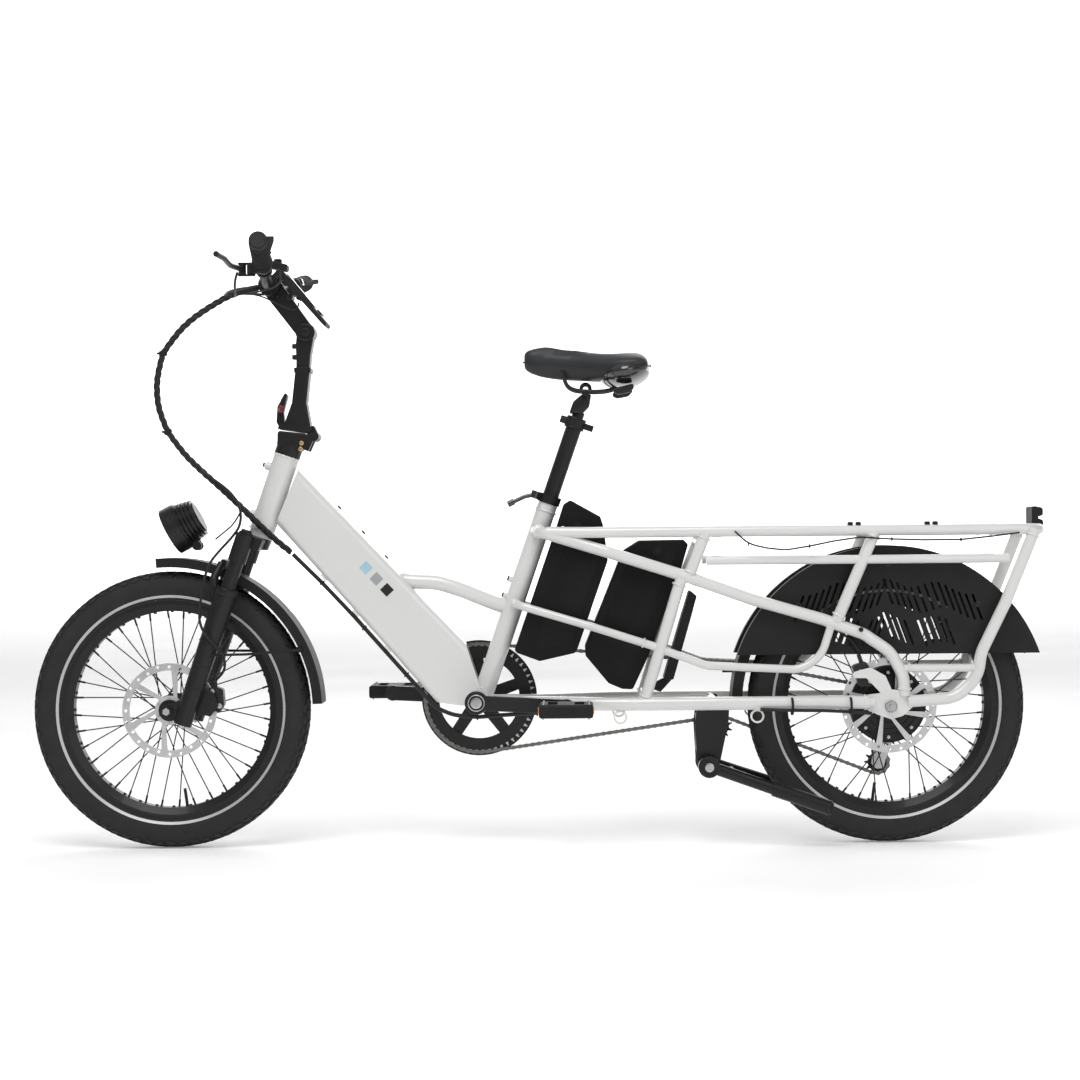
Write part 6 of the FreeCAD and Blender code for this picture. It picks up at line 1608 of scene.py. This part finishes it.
# ---------------------------------------------------------------- lamps, packs and running gear
@dataclass
class Fittings:
    """Lamp, taillight, battery, fork and hub details."""

    def headlight(self) -> None:
        """Fill the lamp with a reflector bowl, a light source and a rim."""
        front, rear = Vector(AT(-2.0, 0, 604.5)), Vector(AT(58.0, 0, 636.0))
        along = (rear - front).normalized()
        bench = Bench()
        bench.hoop(tuple(front + along * 0.0005), tuple(along), 0.0440, 0.0016, 64, tint=0)
        bench.hoop(tuple(front + along * 0.0135), tuple(along), 0.0461, 0.0006, 64, tint=0)
        for i in range(2):
            bench.hoop(tuple(front - along * 0.0002), tuple(along), 0.0160 + 0.0180 * i, 0.0006, 48, tint=1)
        bench.peg(tuple(front - along * 0.0004), tuple(front + along * 0.0002), 0.0070, 0.0075, 32, 0.0, 1)
        bench.finish("headlight_trim", "headlight", [Finishes.satin, Finishes.mirror], "black_paint")

    def taillight(self) -> None:
        """Add the pale and red lenses."""
        low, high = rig.box("taillight")
        bench = Bench()
        bench.block((high.x - 0.0012, 0, low.z + 0.0475), (0.0052, 0.048, 0.013), None, 0.0018, 1)
        bench.block((high.x - 0.0008, 0, low.z + 0.0200), (0.0056, 0.048, 0.021), None, 0.0022, 0)
        bench.finish("taillight_lenses", "frame", [Finishes.red, Finishes.pink], "black_plastic")

    def batteries(self) -> None:
        """Add bevel strips and the key lock."""
        for node, lock_x, lock_z in (("battery_front", 752.0, 600.0), ("battery_rear", 930.0, 560.0)):
            bench = Bench()
            for side in (-1, 1):
                y = 45.6 * side
                if node == "battery_front":
                    panel = [(694, 372), (764, 386), (818, 545), (812, 600), (776, 618), (752, 566)]
                else:
                    panel = [(812, 384), (868, 318), (896, 371), (932, 466), (966, 560), (898, 562),
                             (872, 540)]
                bench.slab(PLACE.flat(panel), (y - 0.7 * side) / 1000 if side > 0 else y / 1000,
                           y / 1000 if side > 0 else (y - 0.7 * side) / 1000, 0.0003)
            metal = 1 if node == "battery_front" else 2
            bench.hoop(AT(lock_x, -47.1, lock_z), (0, 1, 0), 0.0082, 0.0012, 36, tint=metal)
            turn = Matrix.Rotation(0.33, 3, "Y")
            bench.block(AT(lock_x, -47.6, lock_z), (0.0022, 0.0012, 0.0080), turn, 0.0003, 2)
            bench.peg(AT(lock_x, -47.2, lock_z), AT(lock_x, -47.9, lock_z), 0.0058, 0.0054, 28, 0.0, metal)
            bench.finish(node + "_details", node, [Finishes.shell, Finishes.steel, Finishes.satin],
                         "battery_case")

    def fork(self) -> None:
        """Add stanchion seals, the arch's ribs, adjusters and axle caps."""
        bench = Bench()
        column = Vector((0.3239, 0, 0.9461))
        front = Vector((-0.9461, 0, 0.3239))
        foot = Vector((51.1, 0, 247.5))

        def on_leg(up: float, fore: float, y: float) -> Point:
            """Point on the fork in metres."""
            spot = foot + column * up + front * fore
            return AT(spot.x, y, spot.z)

        for side in (-1, 1):
            y = 68.0 * side
            bench.hoop(on_leg(255.2, 18, y), column, 0.0185, 0.0022, 40)
            bench.hoop(on_leg(246.0, 18, y), column, 0.0222, 0.0010, 40)
            bench.hoop(on_leg(-12.0, 18, y), column, 0.0150, 0.0014, 32)
            bench.peg(on_leg(-15.0, 18, y), on_leg(-20.0, 18, y), 0.0075, 0.0062, 20, 0.0, 1)
            bench.peg(AT(0, 69 * side, 265), AT(0, 74.5 * side, 265), 0.0082, 0.0072, 6, 0.0, 1)
            for k in range(3):
                bench.hoop(on_leg(60 + 45 * k, 18, y), column, 0.0188 + 0.0011 * k, 0.0006, 36)
        bench.socket_screw(AT(84, -53.2, 302), (0, -1, 0), 0.0046, 0.0028, 1)
        bench.socket_screw(AT(98, -53.2, 274), (0, -1, 0), 0.0046, 0.0028, 1)
        bench.finish("fork_details", "fork_slider", [Finishes.satin, Finishes.steel], "black_paint")
        bench = Bench()
        for side in (-1, 1):
            bench.peg(on_leg(369, 18, 68.0 * side), on_leg(374, 18, 68.0 * side), 0.0110, 0.0095, 24, 0.0004)
        bench.finish("fork_knobs", "steering", [Finishes.satin], "steel")

    def hubs(self) -> None:
        """Add rotor bolts, motor ribs and cover screws."""
        bolts = 6
        for body, x, y, radius in (("front_wheel", 0.0, -38.2, 0.022), ("rear_wheel", 1367.0, -56.7, 0.018)):
            bench = Bench()
            for i in range(bolts):
                angle = math.tau * (i + 0.5) / bolts
                centre = AT(x, y, 265.0)
                bench.socket_screw((centre[0] + radius * math.cos(angle), centre[1], centre[2] + radius
                                    * math.sin(angle)), (0, -1, 0), 0.0034, 0.0018, 1)
            if body == "rear_wheel":
                for side_y, rings in ((-45.4, (0.034, 0.046, 0.056)), (21.4, (0.030, 0.044, 0.056))):
                    for ring in rings:
                        bench.hoop(AT(x, side_y, 265.0), (0, 1, 0), ring, 0.0013, 72)
                for i in range(8):
                    angle = math.tau * i / 8
                    centre = AT(x, -45.5, 265.0)
                    bench.socket_screw((centre[0] + 0.0615 * math.cos(angle), centre[1], centre[2] + 0.0615
                                        * math.sin(angle)), (0, -1, 0), 0.0032, 0.0018, 1)
            bench.finish(body + "_hub_details", body, [Finishes.satin, Finishes.steel], "steel")

    def stand(self) -> None:
        """Add rubber sleeves' rings and feet to the stand."""
        bench = Bench()
        for side in (-1, 1):
            a, b = Vector(AT(1146, 70 * side, 110.0)), Vector(AT(1255, 86 * side, 73.0))
            along = (b - a).normalized()
            for i in range(4):
                bench.hoop(tuple(a + along * (0.004 + 0.006 * i)), tuple(along), 0.0141, 0.0008, 28)
            bench.hoop(tuple(b - along * 0.006), tuple(along), 0.0140, 0.0014, 28)
            bench.hoop(AT(1025, 66.2 * side, 151), (0, 1, 0), 0.0170, 0.0012, 40, tint=1)
        bench.finish("stand_details", "kickstand", [Finishes.rubber, Finishes.satin], "rubber")

    def build(self) -> None:
        """Make the fittings."""
        self.headlight()
        self.taillight()
        self.batteries()
        self.fork()
        self.hubs()
        self.stand()
        LOG.info("fittings")


# ---------------------------------------------------------------- studio
@dataclass
class Studio:
    """The white floor and wall, soft lights and the camera."""

    camera_place: Point = (0.08125, -4.3, 0.598)
    lens: float = 74.65
    roll: float = 0.483
    shift_x: float = -0.0370
    shift_y: float = -0.0074

    def sheet(self, name: str, place: Matrix, size: float, finish: Finish) -> None:
        """Add one flat sheet of the studio.

        Args:
            name: Its name.
            place: Where it lies and how it is turned.
            size: Half its width.
            finish: Its finish.
        """
        shape = bmesh.new()
        bmesh.ops.create_grid(shape, x_segments=1, y_segments=1, size=size)
        bmesh.ops.transform(shape, matrix=place, verts=list(shape.verts))
        data = bpy.data.meshes.new(name)
        shape.to_mesh(data)
        shape.free()
        ground = bpy.data.objects.new(name, data)
        bpy.context.scene.collection.objects.link(ground)
        dress(ground, finish)
        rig.stage(ground)

    def light(self, name: str, place: Point, aim: Point, size: float, power: float) -> None:
        """Add one soft area light.

        Args:
            name: Its name.
            place: Where it stands.
            aim: What it faces.
            size: Width of its face.
            power: Watts.
        """
        lamp = bpy.data.lights.new(name, "AREA")
        lamp.size = size
        lamp.energy = power
        holder = bpy.data.objects.new(name, lamp)
        holder.location = place
        holder.rotation_euler = (Vector(aim) - Vector(place)).to_track_quat("-Z", "Y").to_euler()
        bpy.context.scene.collection.objects.link(holder)

    def build(self) -> None:
        """Set up the studio."""
        self.sheet("studio_floor", Matrix.Identity(4), 14.0, Finishes.floor)
        upright = Matrix.Translation((0.0, 13.0, 0.0)) @ Matrix.Rotation(math.pi / 2, 4, "X")
        self.sheet("studio_wall", upright, 14.0, Finishes.wall)
        world = bpy.data.worlds.new("studio")
        world.use_nodes = True
        world.node_tree.nodes["Background"].inputs[0].default_value = (1.0, 1.0, 1.0, 1.0)
        world.node_tree.nodes["Background"].inputs[1].default_value = 0.36
        bpy.context.scene.world = world
        self.light("key", (-0.6, -2.0, 3.9), (0, 0, 0.4), 2.6, 98)
        self.light("fill", (2.4, -3.2, 2.0), (0, 0, 0.5), 2.6, 26)
        self.light("back", (0.4, 3.2, 2.8), (0, 0, 0.5), 3.0, 34)
        camera = bpy.data.cameras.new("camera")
        camera.lens = self.lens
        camera.sensor_width = 36.0
        camera.shift_x = self.shift_x
        camera.shift_y = self.shift_y
        camera.clip_start = 0.05
        camera.clip_end = 60.0
        holder = bpy.data.objects.new("camera", camera)
        holder.location = self.camera_place
        holder.rotation_euler = (math.pi / 2, math.radians(self.roll), 0.0)
        bpy.context.scene.collection.objects.link(holder)
        bpy.context.scene.camera = holder
        bpy.context.scene.view_settings.view_transform = "Standard"


def box_lists() -> list[list[float]]:
    """The shown object's box as plain lists."""
    return [list(corner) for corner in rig.bounds()]


def main() -> None:
    """Build the whole scene."""
    logging.basicConfig(level=logging.INFO)
    random.seed(7)
    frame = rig.load()
    solid_box = box_lists()
    Studio().build()
    SolidFinishes(frame["nodes"]).build()
    Wheel("front", "front_wheel", AT(0, 0, 0)[0]).build()
    Wheel("rear", "rear_wheel", AT(1367.0, 0, 0)[0]).build()
    Drive().build()
    SeatPost().build()
    Saddle().build(frame["nodes"]["saddle"])
    Cables().build()
    Cockpit().build()
    FrameDetails().build()
    Fittings().build()
    with open("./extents.json", "w", encoding="utf-8") as out:
        json.dump({"cad": solid_box, "visual": box_lists()}, out)


if __name__ == "__main__":
    main()
